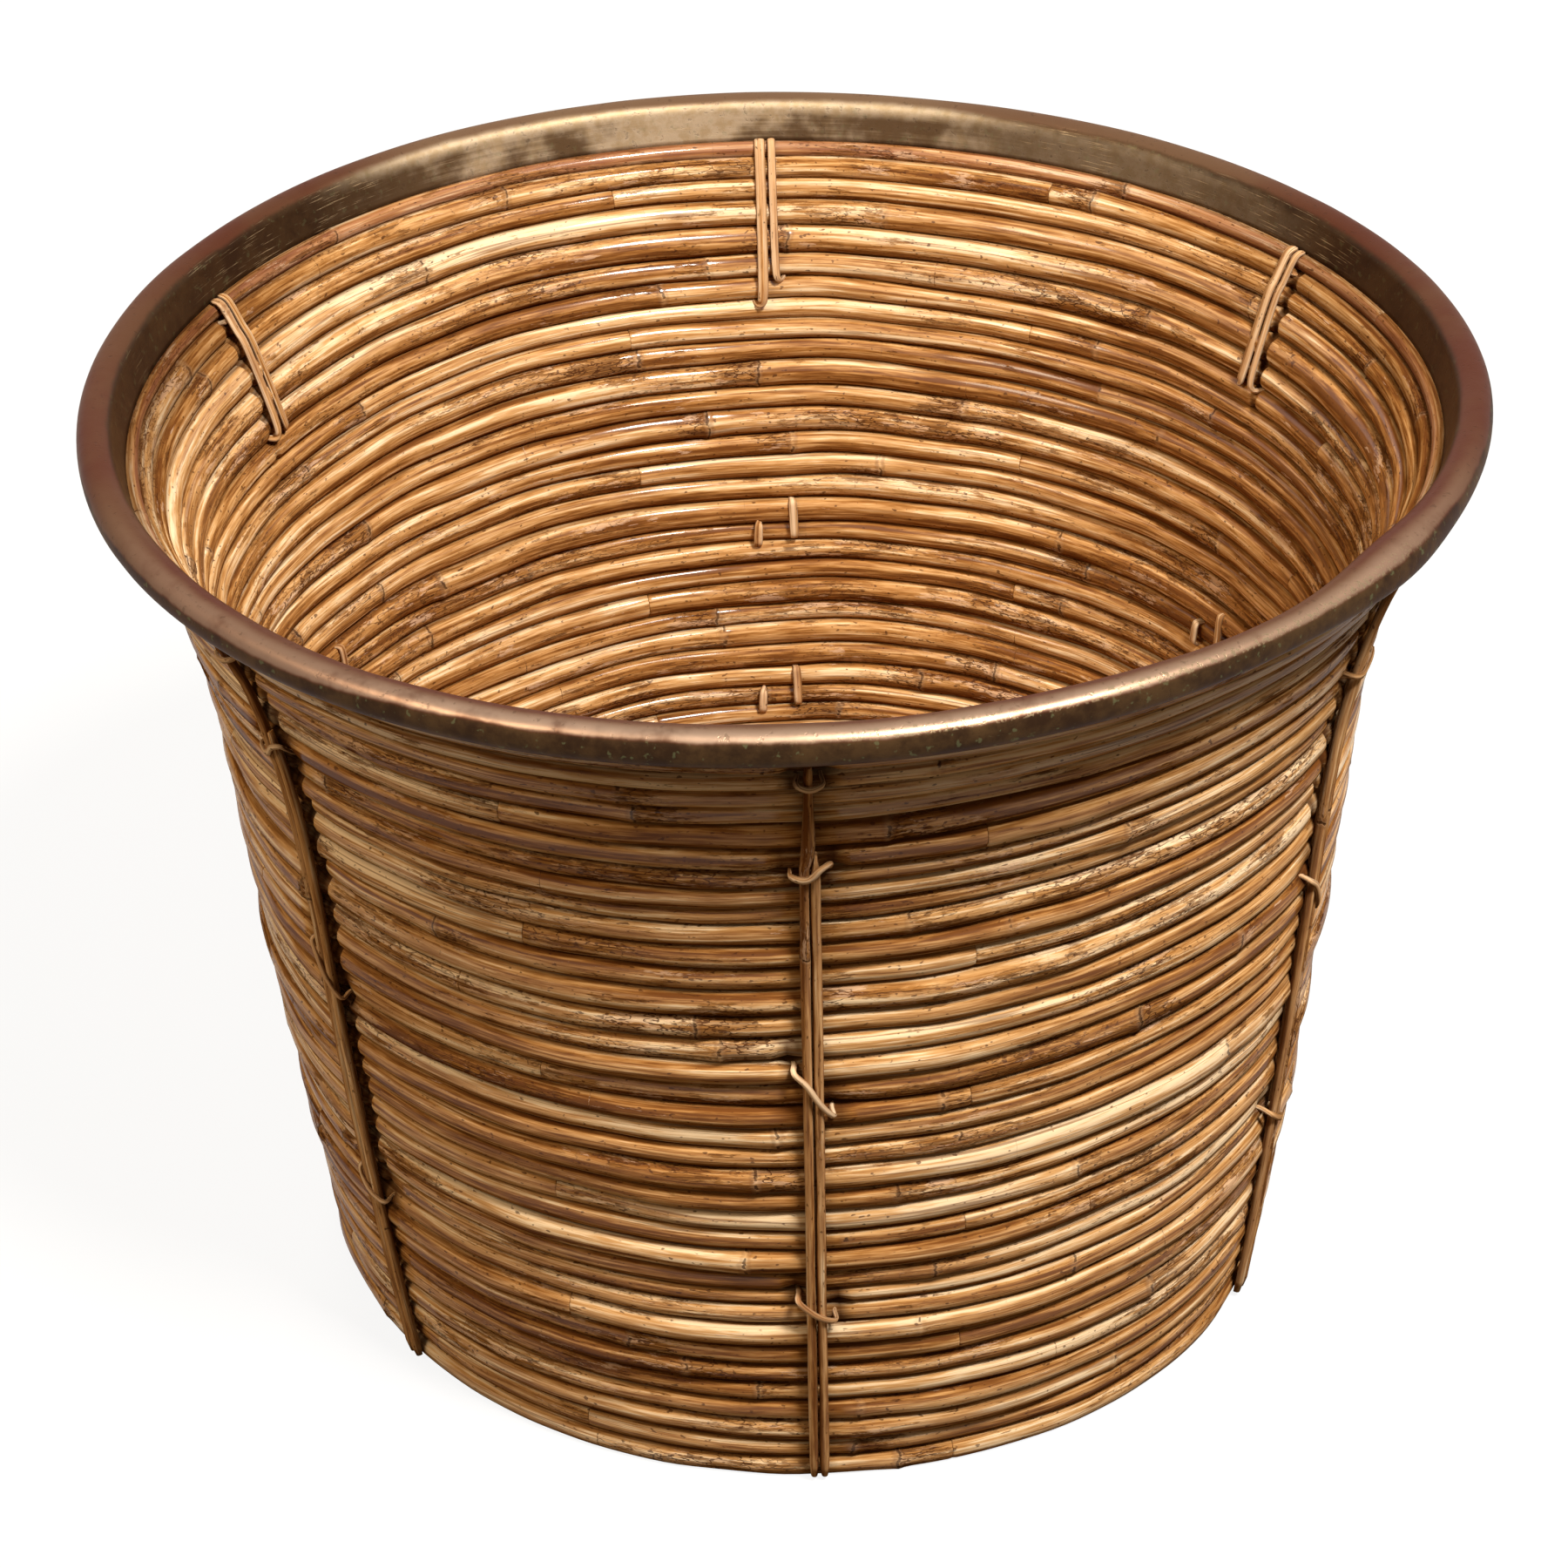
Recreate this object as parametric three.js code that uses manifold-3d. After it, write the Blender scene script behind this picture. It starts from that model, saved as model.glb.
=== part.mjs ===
// Round floor basket of stacked rattan canes with a rolled brass rim.
// Millimetres, +Z up, origin on the floor at the middle of the base, front stake towards -Y.
import * as THREE from 'three';
import { mergeVertices } from 'three/addons/utils/BufferGeometryUtils.js';
import Module from 'manifold-3d';

const wasm = await Module();
wasm.setup();

// Wall: cane hoops stacked one on another, each leaning out a little more or less than the last
const WALL_CANES = 36;
const CANE_DIAMETER = 7.6;
const TOP_CANES = 2;
const TOP_CANE_DIAMETER = 6.2;
const CANE_GAP = 0.4;
const BASE_RADIUS = 151.5;
const FOOT_LEAN = 8.3;
const WAIST_LEAN = 4.6;
const MOUTH_LEAN = 31;
const WAIST_CANE = 20;
const FLARE_POWER = 2.2;
const JOINT_GAP = 0.6;
const FOOT_FLAT = 0.5;

// Rim: brass sheet rolled round a core cane that stands out and up from the top cane, with a thinner
// filler cane in the corner under it; the sheet's inner edge rests on the top cane
const FILLER_DIAMETER = 4.4;
const CORE_DIAMETER = 8.7;
const CORE_REACH = 9.4;
const CORE_RISE = 11.1;
const BRASS_THICKNESS = 0.8;
const LIP_TURN = 64;
const BEAD_END = -95;
const BEAD_STEPS = 8;

// Stakes: pairs of half-round split canes outside the wall, evenly spaced but for these turns in degrees
const STAKE_TURNS = [0, 1, 0, 0, 5, 6.5];
const STAKE_WIDTH = 2.8;
const STAKE_THICKNESS = 2.2;
const STAKE_RISE = 0.85;
const STAKE_STEPS = { long: 12, short: 9 };

// Lashings: split cane that ties each pair of stakes through the wall
const LASHING_THICKNESS = 0.9;
const LASHING_WIDTH = 2.4;
const LEG_WIDTH = 1.6;
const LEG_HEIGHT = 1.2;
const INNER_STRIP_WIDTH = 3;
const TOP_TIE = 1;
const STRIP_TIE = 6;
const LOWER_TIES = [{ left: 15, right: 17 }, { left: 26, right: 27 }];
const HOOK_CANES = 1;
const INNER_STRIP_RISE = 0.2;
const INNER_STRIP_STEPS = 4;
const RUNNER_STEPS = 5;

// Floor: a flat coil of thicker cane
const FLOOR_CANE_DIAMETER = 10;
const FLOOR_CANE_GAP = 0.8;
const FLOOR_EYE_RADIUS = 11;
const FLOOR_STEPS = 16;
const FLOOR_SLIDE_STEPS = 2;

const CLEARANCE = 0.3;
const CANE_SIDES = 6;
const STAKE_SIDES = 4;
const HOOP_STEPS = 24;
const JOINT_STAGGER = { stakes: 5, steps: 7 };
const MERGE_DISTANCE = 1e-4;

const sideStep = (2 * Math.PI) / CANE_SIDES;
const hoopStep = (2 * Math.PI) / HOOP_STEPS;
const stakePairs = STAKE_TURNS.length;
const stakeStep = (2 * Math.PI) / stakePairs;
const front = -Math.PI / 2;

// Angle round the basket where this angle falls once the stakes have their turns; what lies between
// two stakes is spread evenly, so that every hoop has a corner behind each stake
function turned(angle) {
  const place = (angle - front) / stakeStep;
  const pair = Math.floor(place);
  const turnOf = (k) => THREE.MathUtils.degToRad(STAKE_TURNS[THREE.MathUtils.euclideanModulo(k, stakePairs)]);
  return angle + THREE.MathUtils.lerp(turnOf(pair), turnOf(pair + 1), place - pair);
}

const stakeAzimuth = (pair) => turned(front + pair * stakeStep);
const stakeGaps = STAKE_TURNS.map((_, pair) => stakeAzimuth(pair + 1) - stakeAzimuth(pair));
const halfStep = (Math.max(...stakeGaps) * stakePairs) / HOOP_STEPS / 2;

const CANE = new THREE.MeshStandardMaterial({ color: 0xb9853f, roughness: 0.42, metalness: 0 });
const TOP_CANE = new THREE.MeshStandardMaterial({ color: 0x96603a, roughness: 0.45, metalness: 0 });
const SPLIT = new THREE.MeshStandardMaterial({ color: 0xa87434, roughness: 0.5, metalness: 0 });
const CORE = new THREE.MeshStandardMaterial({ color: 0xa6763c, roughness: 0.6, metalness: 0 });
const BRASS = new THREE.MeshStandardMaterial({ color: 0x7d6238, roughness: 0.36, metalness: 1 });

// A path whose points are spaced by its own parameter, so that steps fall on chosen angles
class StepPath extends THREE.Curve {
  constructor(at) {
    super();
    this.at = at;
  }

  getPoint(t) {
    return this.at(t);
  }

  getUtoTmapping(u) {
    return u;
  }
}

const polar = (radius, angle, z) => new THREE.Vector3(radius * Math.cos(angle), radius * Math.sin(angle), z);

function leanOf(cane) {
  const below = Math.min(cane / WAIST_CANE, 1);
  const above = Math.max((cane - WAIST_CANE) / (WALL_CANES - WAIST_CANE), 0);
  const toWaist = (WAIST_LEAN - FOOT_LEAN) * below;
  const toMouth = (MOUTH_LEAN - WAIST_LEAN) * above ** FLARE_POWER;
  return THREE.MathUtils.degToRad(FOOT_LEAN + toWaist + toMouth);
}

const caneRadius = (cane) => (cane < WALL_CANES - TOP_CANES ? CANE_DIAMETER : TOP_CANE_DIAMETER) / 2;

// Centre, radius and lean of every cane of the wall, bottom cane first
function stackWall() {
  const first = caneRadius(0);
  const wall = [{ r: BASE_RADIUS - first, z: first - FOOT_FLAT, radius: first, lean: leanOf(0) }];
  for (let i = 1; i < WALL_CANES; i += 1) {
    const last = wall[i - 1];
    const radius = caneRadius(i);
    const rise = last.radius + CANE_GAP + radius;
    const lean = leanOf(i);
    const r = last.r + rise * Math.sin((lean + last.lean) / 2);
    const z = last.z + rise * Math.cos((lean + last.lean) / 2);
    wall.push({ r, z, radius, lean });
  }
  return wall;
}

const wall = stackWall();
const topCane = wall[WALL_CANES - 1];

// A six-sided section as wide and as high as its round cane reaches this share further at its corners
const cornerReach = Math.hypot(Math.cos(sideStep), 1);
const topReach = topCane.radius * cornerReach;

const core = { r: topCane.r + CORE_REACH, z: topCane.z + CORE_RISE, radius: CORE_DIAMETER / 2, lean: 0 };
const rimRoom = CLEARANCE + BRASS_THICKNESS;
const aroundHoop = (hoop, radius, angle) =>
  new THREE.Vector2(hoop.r + radius * Math.cos(angle), hoop.z + radius * Math.sin(angle));

// The sheet's inner edge, and the turn round the core at which the straight inner face meets the bead
const lip = aroundHoop(topCane, topReach + CLEARANCE, THREE.MathUtils.degToRad(LIP_TURN));
const lipToCore = new THREE.Vector2(core.r, core.z).sub(lip);
const beadStart = lipToCore.angle() + Math.asin((core.radius + rimRoom) / lipToCore.length()) + Math.PI / 2;

// The filler lies against both the core and the sheet's inner face
function fillerHoop(radius) {
  const sideways = core.radius - radius;
  const down = Math.sqrt((core.radius + CLEARANCE + radius) ** 2 - sideways ** 2);
  const place = aroundHoop(core, sideways, beadStart);
  place.sub(new THREE.Vector2(Math.sin(beadStart), -Math.cos(beadStart)).multiplyScalar(down));
  return { r: place.x, z: place.y, radius, lean: 0 };
}

const filler = fillerHoop(FILLER_DIAMETER / 2);

// Six-sided section with its flats towards its neighbours, stretched to reach them where canes are stacked
function caneSection(radius, lean, stretch = 1 / Math.cos(sideStep / 2)) {
  const section = new THREE.Shape();
  for (let i = 0; i < CANE_SIDES; i += 1) {
    const turn = i * sideStep;
    const out = radius * Math.cos(turn);
    const up = radius * Math.sin(turn) * stretch;
    const radial = out * Math.cos(lean) + up * Math.sin(lean);
    const height = up * Math.cos(lean) - out * Math.sin(lean);
    const place = [-height, -radial];
    if (i === 0) section.moveTo(...place);
    else section.lineTo(...place);
  }
  return section;
}

const sweep = (section, path, steps) => new THREE.ExtrudeGeometry(section, { steps, extrudePath: path });

// A cane bent round into a hoop, its two ends meeting at a butt joint between two stakes
function hoopGeometry(hoop, jointStep, stretch) {
  const start = front + jointStep * hoopStep + JOINT_GAP / 2 / hoop.r;
  const turn = 2 * Math.PI - JOINT_GAP / hoop.r;
  const path = new StepPath((t) => polar(hoop.r, turned(start + turn * t), hoop.z));
  return sweep(caneSection(hoop.radius, hoop.lean, stretch), path, HOOP_STEPS);
}

// Joints are staggered round the wall and never fall behind a stake
function jointStepOf(cane) {
  const between = HOOP_STEPS / stakePairs;
  const gap = (cane * JOINT_STAGGER.stakes) % stakePairs;
  return between * gap + 1 + ((cane * JOINT_STAGGER.steps) % (between - 1));
}

function toSolid(geometry) {
  const bare = geometry.clone();
  bare.deleteAttribute('normal');
  bare.deleteAttribute('uv');
  const merged = mergeVertices(bare, MERGE_DISTANCE);
  const vertProperties = new Float32Array(merged.attributes.position.array);
  const triVerts = new Uint32Array(merged.index.array);
  return new wasm.Manifold(new wasm.Mesh({ numProp: 3, vertProperties, triVerts }));
}

function toGeometry(solid) {
  const mesh = solid.getMesh();
  const geometry = new THREE.BufferGeometry();
  geometry.setAttribute('position', new THREE.BufferAttribute(mesh.vertProperties.slice(), 3));
  geometry.setIndex(new THREE.BufferAttribute(mesh.triVerts.slice(), 1));
  return geometry;
}

// Place beside a stake that stands at azimuth 0: along the wall in canes, out from the cane centres, across
function atWall(cane, out, across) {
  const index = Math.min(Math.max(Math.floor(cane), 0), WALL_CANES - 2);
  const part = cane - index;
  const [a, b] = [wall[index], wall[index + 1]];
  const lean = a.lean + (b.lean - a.lean) * part;
  const r = a.r + (b.r - a.r) * part + out * Math.cos(lean);
  const z = a.z + (b.z - a.z) * part - out * Math.sin(lean);
  return new THREE.Vector3(r, across, z);
}

// Levels of the stakes and lashings, measured out from the cane centres
const caneFace = CANE_DIAMETER / 2 + CLEARANCE;
const runnerLevel = caneFace + LASHING_THICKNESS / 2;
const stakeLevel = caneFace + LASHING_THICKNESS + CLEARANCE;
const saddleLevel = stakeLevel + STAKE_THICKNESS + CLEARANCE + LASHING_THICKNESS / 2;
const stakeAcross = (STAKE_WIDTH + CLEARANCE) / 2;
const legAcross = stakeAcross + STAKE_WIDTH / 2 + CLEARANCE + LEG_WIDTH / 2;
const topLegAcross = STAKE_WIDTH / 2 + CLEARANCE + LEG_WIDTH / 2;
const stripAcross = topLegAcross + LEG_WIDTH / 2 - INNER_STRIP_WIDTH / 2;
const cornerSlope = (legAcross + LASHING_WIDTH / 2) * Math.tan(halfStep);
const innerLevel = -(caneFace + cornerSlope + LASHING_THICKNESS / 2);

// Cane position of the seam that lies this many canes below the brass, and half a tie's width in canes
const seamBelow = (canes) => WALL_CANES - canes - 0.5;
const tieHalf = LASHING_WIDTH / 2 / (CANE_DIAMETER + CANE_GAP);

// Straight bar of split cane between two places; its width lies along side
function bar(a, b, side, width, thickness) {
  const along = b.clone().sub(a);
  const length = along.length();
  along.normalize();
  const across = side.clone().addScaledVector(along, -side.dot(along)).normalize();
  const through = along.clone().cross(across);
  const geometry = new THREE.BoxGeometry(width, thickness, length);
  const frame = new THREE.Matrix4().makeBasis(across, through, along);
  frame.setPosition(a.clone().add(b).multiplyScalar(0.5));
  return toSolid(geometry.applyMatrix4(frame));
}

const acrossAxis = new THREE.Vector3(0, 1, 0);
const wallDirection = (cane) => atWall(cane + 0.5, 0, 0).sub(atWall(cane - 0.5, 0, 0)).normalize();

// Leg through the wall at a seam between two canes, with room round it when it is a cut
function leg(seam, across, room) {
  const inner = atWall(seam, innerLevel - LASHING_THICKNESS / 2 - room, across);
  const outer = atWall(seam, saddleLevel + LASHING_THICKNESS / 2 + room, across);
  return bar(inner, outer, acrossAxis, LEG_WIDTH + 2 * room, LEG_HEIGHT + 2 * room);
}

// Band over the outside of the stakes, from the leg on the left to the leg on the right
function saddle(left, right, reach) {
  const a = atWall(left, saddleLevel, -reach);
  const b = atWall(right, saddleLevel, reach);
  const spare = b.clone().sub(a).normalize().multiplyScalar(LEG_WIDTH / 2);
  return bar(a.sub(spare), b.add(spare), wallDirection((left + right) / 2), LASHING_WIDTH, LASHING_THICKNESS);
}

// Flat strip that follows the wall at one level between two places, in a few straight lengths
function strip(from, to, out, width, lengths) {
  const section = new THREE.Shape();
  const [half, depth] = [width / 2, LASHING_THICKNESS / 2];
  section.moveTo(-half, -depth).lineTo(half, -depth).lineTo(half, depth).lineTo(-half, depth);
  const between = (key, t) => from[key] + (to[key] - from[key]) * t;
  const path = new StepPath((t) => atWall(between('cane', t), out, between('across', t)));
  return toSolid(sweep(section, path, lengths));
}

// Seams where a leg passes through the wall, with the place of each leg across
function legPlaces() {
  const places = [];
  for (const side of [-1, 1]) {
    places.push({ seam: seamBelow(TOP_TIE), across: side * topLegAcross });
    places.push({ seam: seamBelow(STRIP_TIE), across: side * legAcross });
    for (const tie of LOWER_TIES) {
      places.push({ seam: seamBelow(side < 0 ? tie.left : tie.right), across: side * legAcross });
    }
  }
  return places;
}

// One lashing: inner strips under the brass, a tie over each level of the stakes and a runner behind them
function lashingSolid() {
  const stripEnd = seamBelow(STRIP_TIE);
  const runnerTop = { cane: stripEnd, across: 0 };
  const runnerFoot = { cane: seamBelow(LOWER_TIES[LOWER_TIES.length - 1].left), across: 0 };
  const parts = legPlaces().map((place) => leg(place.seam, place.across, 0));
  parts.push(saddle(seamBelow(TOP_TIE), seamBelow(TOP_TIE), topLegAcross));
  parts.push(saddle(stripEnd, stripEnd, legAcross));
  parts.push(...LOWER_TIES.map((tie) => saddle(seamBelow(tie.left), seamBelow(tie.right), legAcross)));
  parts.push(strip(runnerFoot, runnerTop, runnerLevel, LASHING_WIDTH, RUNNER_STEPS));
  for (const seam of [stripEnd, ...LOWER_TIES.map((tie) => seamBelow(tie.left))]) {
    const a = atWall(seam, runnerLevel, -legAcross);
    const b = atWall(seam, runnerLevel, 0);
    parts.push(bar(a, b, wallDirection(seam), LEG_HEIGHT, LASHING_THICKNESS));
  }
  for (const side of [-1, 1]) {
    const foot = { cane: stripEnd - tieHalf, across: side * legAcross };
    const head = { cane: WALL_CANES - 1 + INNER_STRIP_RISE, across: side * stripAcross };
    parts.push(strip(foot, head, innerLevel, INNER_STRIP_WIDTH, INNER_STRIP_STEPS));
    for (const tie of LOWER_TIES) {
      const seam = seamBelow(side < 0 ? tie.left : tie.right);
      const low = { cane: seam - HOOK_CANES, across: side * legAcross };
      const high = { cane: seam + tieHalf, across: side * legAcross };
      parts.push(strip(low, high, innerLevel, LASHING_WIDTH, 1));
    }
  }
  return parts.reduce((whole, part) => whole.add(part));
}

// Half-round split cane with its flat side to the wall
function stakeSection() {
  const section = new THREE.Shape();
  section.moveTo(STAKE_WIDTH / 2, 0);
  for (let i = 1; i <= STAKE_SIDES; i += 1) {
    const turn = (i * Math.PI) / STAKE_SIDES;
    section.lineTo((STAKE_WIDTH / 2) * Math.cos(turn), STAKE_THICKNESS * Math.sin(turn));
  }
  return section;
}

// One stake of a pair: the short one ends in the tie where the inner strips end, and above that tie
// the long one moves to the middle and runs on to the brass
function stakeGeometry(side, length) {
  const tie = seamBelow(STRIP_TIE) + tieHalf;
  const end = length === 'long' ? WALL_CANES - 1 + STAKE_RISE : tie;
  const path = new StepPath((t) => {
    const cane = (end + 1) * t - 1;
    const shift = THREE.MathUtils.clamp((cane - tie) / (seamBelow(TOP_TIE) - tieHalf - tie), 0, 1);
    return atWall(cane, stakeLevel, side * stakeAcross * (1 - shift));
  });
  return sweep(stakeSection(), path, STAKE_STEPS[length]);
}

// Everything below the floor is cut away, so that canes and stakes stand on flats
function cutAtFloor(solid) {
  const depth = 2 * CANE_DIAMETER;
  const block = new THREE.BoxGeometry(4 * BASE_RADIUS, 4 * BASE_RADIUS, depth);
  block.translate(0, 0, -depth / 2);
  return solid.subtract(toSolid(block));
}

// Brass section: from the top cane up the inner face, over the core and round under it
function rimProfile() {
  const end = THREE.MathUtils.degToRad(BEAD_END);
  const face = (offset) => {
    const edge = aroundHoop({ r: lip.x, z: lip.y }, offset - rimRoom, beadStart);
    const bead = [];
    for (let i = 0; i <= BEAD_STEPS; i += 1) {
      bead.push(aroundHoop(core, core.radius + offset, THREE.MathUtils.lerp(beadStart, end, i / BEAD_STEPS)));
    }
    return [edge, ...bead];
  };
  const profile = [...face(rimRoom), ...face(CLEARANCE).reverse()];
  profile.push(profile[0].clone());
  return profile;
}

function rimGeometry() {
  const geometry = new THREE.LatheGeometry(rimProfile().reverse(), HOOP_STEPS).rotateX(Math.PI / 2);
  const position = geometry.attributes.position;
  for (let i = 0; i < position.count; i += 1) {
    const [x, y] = [position.getX(i), position.getY(i)];
    const corner = polar(Math.hypot(x, y), turned(Math.atan2(y, x)), position.getZ(i));
    position.setXYZ(i, corner.x, corner.y, corner.z);
  }
  return geometry;
}

// Flat coil: the outer turn slides in by one pitch just before it meets its own start, inner turns sooner
function floorPath() {
  const pitch = FLOOR_CANE_DIAMETER + FLOOR_CANE_GAP;
  const wallInside = (wall[0].r - wall[0].radius) * Math.cos(halfStep);
  const outer = wallInside - CLEARANCE - FLOOR_CANE_DIAMETER / 2;
  const turns = Math.floor((outer - FLOOR_EYE_RADIUS) / pitch);
  const shortest = FLOOR_SLIDE_STEPS / FLOOR_STEPS;
  const at = (t) => {
    const whole = Math.floor(turns * t + MERGE_DISTANCE);
    const slide = shortest + (1 - shortest) * Math.min(whole / (turns - 1), 1);
    const drawnIn = whole + Math.max(0, (turns * t - whole - 1 + slide) / slide);
    return polar(outer - pitch * drawnIn, front + 2 * Math.PI * turns * t, FLOOR_CANE_DIAMETER / 2);
  };
  return { path: new StepPath(at), steps: turns * FLOOR_STEPS };
}

// Least distance between stretches of the coil that lie more than half a turn apart, less its thickness
function leastGap(path, steps) {
  const points = path.getPoints(steps * 2);
  let least = Infinity;
  for (let i = 0; i < points.length; i += 1) {
    for (let j = i + FLOOR_STEPS; j < points.length; j += 1) {
      least = Math.min(least, points[i].distanceTo(points[j]));
    }
  }
  return least - FLOOR_CANE_DIAMETER;
}

const basket = new THREE.Group();

function addPiece(name, geometry, material, azimuth = 0) {
  const mesh = new THREE.Mesh(geometry, material);
  mesh.name = name;
  mesh.rotation.z = azimuth;
  basket.add(mesh);
}

const two = (number) => String(number).padStart(2, '0');

// Cuts where the lashings pass between this cane and its neighbours
function notchesOf(cane) {
  const cuts = [];
  for (const place of legPlaces()) {
    if (Math.abs(place.seam - cane) < 1) {
      for (let pair = 0; pair < stakePairs; pair += 1) {
        const turn = THREE.MathUtils.radToDeg(stakeAzimuth(pair));
        cuts.push(leg(place.seam, place.across, CLEARANCE).rotate([0, 0, turn]));
      }
    }
  }
  return cuts;
}

function addWall() {
  for (let i = 0; i < WALL_CANES; i += 1) {
    const material = i < WALL_CANES - TOP_CANES ? CANE : TOP_CANE;
    let geometry = hoopGeometry(wall[i], jointStepOf(i));
    const cuts = notchesOf(i);
    if (cuts.length > 0) {
      geometry = toGeometry(cuts.reduce((solid, cut) => solid.subtract(cut), toSolid(geometry)));
    }
    if (i === 0) {
      geometry = toGeometry(cutAtFloor(toSolid(geometry)));
    }
    addPiece(`wall_cane_${two(i + 1)}`, geometry, material);
  }
}

function addRim() {
  addPiece('rim_filler_cane', hoopGeometry(filler, jointStepOf(1), 1), CORE);
  addPiece('rim_core_cane', hoopGeometry(core, jointStepOf(2), 1), CORE);
  addPiece('brass_rim', rimGeometry(), BRASS);
}

function addStakesAndLashings() {
  const lashing = lashingSolid();
  for (let pair = 0; pair < stakePairs; pair += 1) {
    const azimuth = stakeAzimuth(pair);
    for (const [side, length] of [[-1, 'long'], [1, 'short']]) {
      const stake = cutAtFloor(toSolid(stakeGeometry(side, length)));
      addPiece(`stake_${pair + 1}_${length}`, toGeometry(stake), SPLIT, azimuth);
    }
    addPiece(`lashing_${pair + 1}`, toGeometry(lashing), SPLIT, azimuth);
  }
}

function addFloor() {
  const { path, steps } = floorPath();
  const geometry = sweep(caneSection(FLOOR_CANE_DIAMETER / 2, 0), path, steps);
  addPiece('floor_coil', geometry, CANE);
  console.log(`floor coil: least gap to itself ${leastGap(path, steps).toFixed(2)} mm`);
}

addWall();
addRim();
addStakesAndLashings();
addFloor();

export default basket;
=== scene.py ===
"""Rattan floor basket: stacked cane hoops, split-cane stakes and lashings, and a rolled brass rim."""
import math
import random
from math import cos, pi, radians, sin
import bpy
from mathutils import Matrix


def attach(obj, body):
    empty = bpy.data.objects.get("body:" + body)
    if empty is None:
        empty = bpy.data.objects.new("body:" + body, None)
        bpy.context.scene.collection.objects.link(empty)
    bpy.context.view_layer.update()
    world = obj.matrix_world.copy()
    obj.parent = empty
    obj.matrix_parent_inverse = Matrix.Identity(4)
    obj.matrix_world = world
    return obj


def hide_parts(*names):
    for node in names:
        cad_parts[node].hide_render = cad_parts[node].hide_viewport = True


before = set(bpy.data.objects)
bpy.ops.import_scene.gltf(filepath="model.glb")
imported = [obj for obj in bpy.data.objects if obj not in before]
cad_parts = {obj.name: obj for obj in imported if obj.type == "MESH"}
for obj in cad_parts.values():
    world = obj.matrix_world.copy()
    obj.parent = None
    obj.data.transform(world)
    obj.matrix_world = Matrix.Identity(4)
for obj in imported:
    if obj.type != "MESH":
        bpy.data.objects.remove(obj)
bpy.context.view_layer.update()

from types import SimpleNamespace

import bmesh
import bpy
from mathutils import Matrix, Vector, noise

bl_info = {
    "name": "Rattan Floor Basket",
    "version": (1, 0, 0),
    "blender": (4, 5, 0),
    "location": "3D View > Sidebar > Basket",
    "description": "Dresses the packed basket with cane, ties and brass, and sets its stage",
    "category": "Add Mesh",
}

BODY = "root"
MM = 0.001
FRONT = -pi / 2

# Wall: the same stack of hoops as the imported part, with its leans in degrees
WALL_CANES = 36
TOP_CANES = 2
TOP_CANE_SHARE = 0.8
FOOT_LEAN = 8.3
WAIST_LEAN = 4.6
MOUTH_LEAN = 31.0
WAIST_CANE = 20
FLARE_POWER = 2.2
FOOT_FLAT = 0.5 * MM
CLEARANCE = 0.3 * MM
CANE_OVERLAP = 0.22 * MM
CANE_FLATNESS = 0.82

# Hollows in the canes where a tie goes through, and the painted shade beside the stakes
POCKET_DEPTH = 0.7 * MM
POCKET_REACH = 1.25 * MM
DENT_DEPTH = 1.3 * MM
DENT_REACH = 2.6 * MM
DENT_OFFSET = 0.8 * MM
STAKE_SHADE_REACH = 4.6 * MM

# Butt joints, staggered round the wall
JOINT_GAP = 0.6 * MM
SEEN_JOINT_GAP = 0.1 * MM
HOOP_STEPS = 24
JOINT_STAGGER = {"stakes": 5, "steps": 7}

# Rim: brass rolled round a core cane that stands out and up from the top cane, over a thin filler cane
FILLER_DIAMETER = 4.4 * MM
CORE_DIAMETER = 8.7 * MM
CORE_REACH = 9.4 * MM
CORE_RISE = 11.1 * MM
LIP_TURN = radians(64)
BEAD_END = radians(-95)

# Stakes: how far each pair is turned from an even spacing, in degrees, and where its stakes end
STAKE_TURNS = (0.0, 1.0, 0.0, 0.0, 5.0, 6.5)
WIDEST_PAIR_ANGLE = radians(65)
STAKE_RISE = 0.85
STAKE_FOOT = -0.07
STAKE_GAP = 0.9 * MM
STAKE_LENGTH = 280 * MM
# The long stake widens above the strips' tie and moves to the middle, and the short one ends there
LONG_STAKE_TOP = (4.0 * MM, 2.5 * MM)
LONG_STAKE_SHIFT = -0.3 * MM
SHORT_STAKE_TIP = (0.75, 0.35)
SHORT_STAKE_REACH = 0.9
STAKE_ABOVE_TIE = 0.15

# Lashings: seams of the ties, counted in canes from the brass
TOP_TIE = 1
STRIP_TIE = 6
LONG_STRIP_PAIR = 3
LOWER_TIES = ((15, 17), (26, 27))
BACK_TIES = ((16, 17), (24, 25))
BACK_PAIRS = (2, 3, 4)
# How far past the stakes the lower ties and the top tie go through the wall
TIE_REACH = 2.2 * MM
TOP_TIE_REACH = 1.6 * MM
LASHING_LENGTH = 1.0
# How thick the end of a strip is, and how many canes a hook reaches down on the left and right
STRIP_END = 0.75
HOOK_DROPS = (-1.7, -1.05)

# Floor coil: its first turn slides inward only over its last steps, its last one all the way
FLOOR_CANE_GAP = 0.8 * MM
FLOOR_EYE_RADIUS = 11 * MM
FLOOR_STEPS = 16
FLOOR_SLIDE_STEPS = 2
FLOOR_RINGS = 72

# The bead is a little flatter on top and at its sides than a true round
BEAD_SQUARENESS = 0.03
BEAD_CORNER = radians(50)
LIP_EXTRA = 0.5 * MM
# The bead is squeezed or swells here: its angle, reach and growth
BEAD_DENTS = ((radians(-52), 0.2, -1.0 * MM), (radians(-37), 0.12, 1.6 * MM))
SMALL_DENTS = 34
# Height over which the rim's unevenness begins above the top cane
RIM_EASE = 6 * MM

# The mouth is a little oval, tilted and uneven in height
MOUTH_HEIGHT = 290 * MM
OVAL_REACH = 1.1 * MM
RIM_WAVE = -1.8 * MM
RIM_TILT = -0.8 * MM

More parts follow.
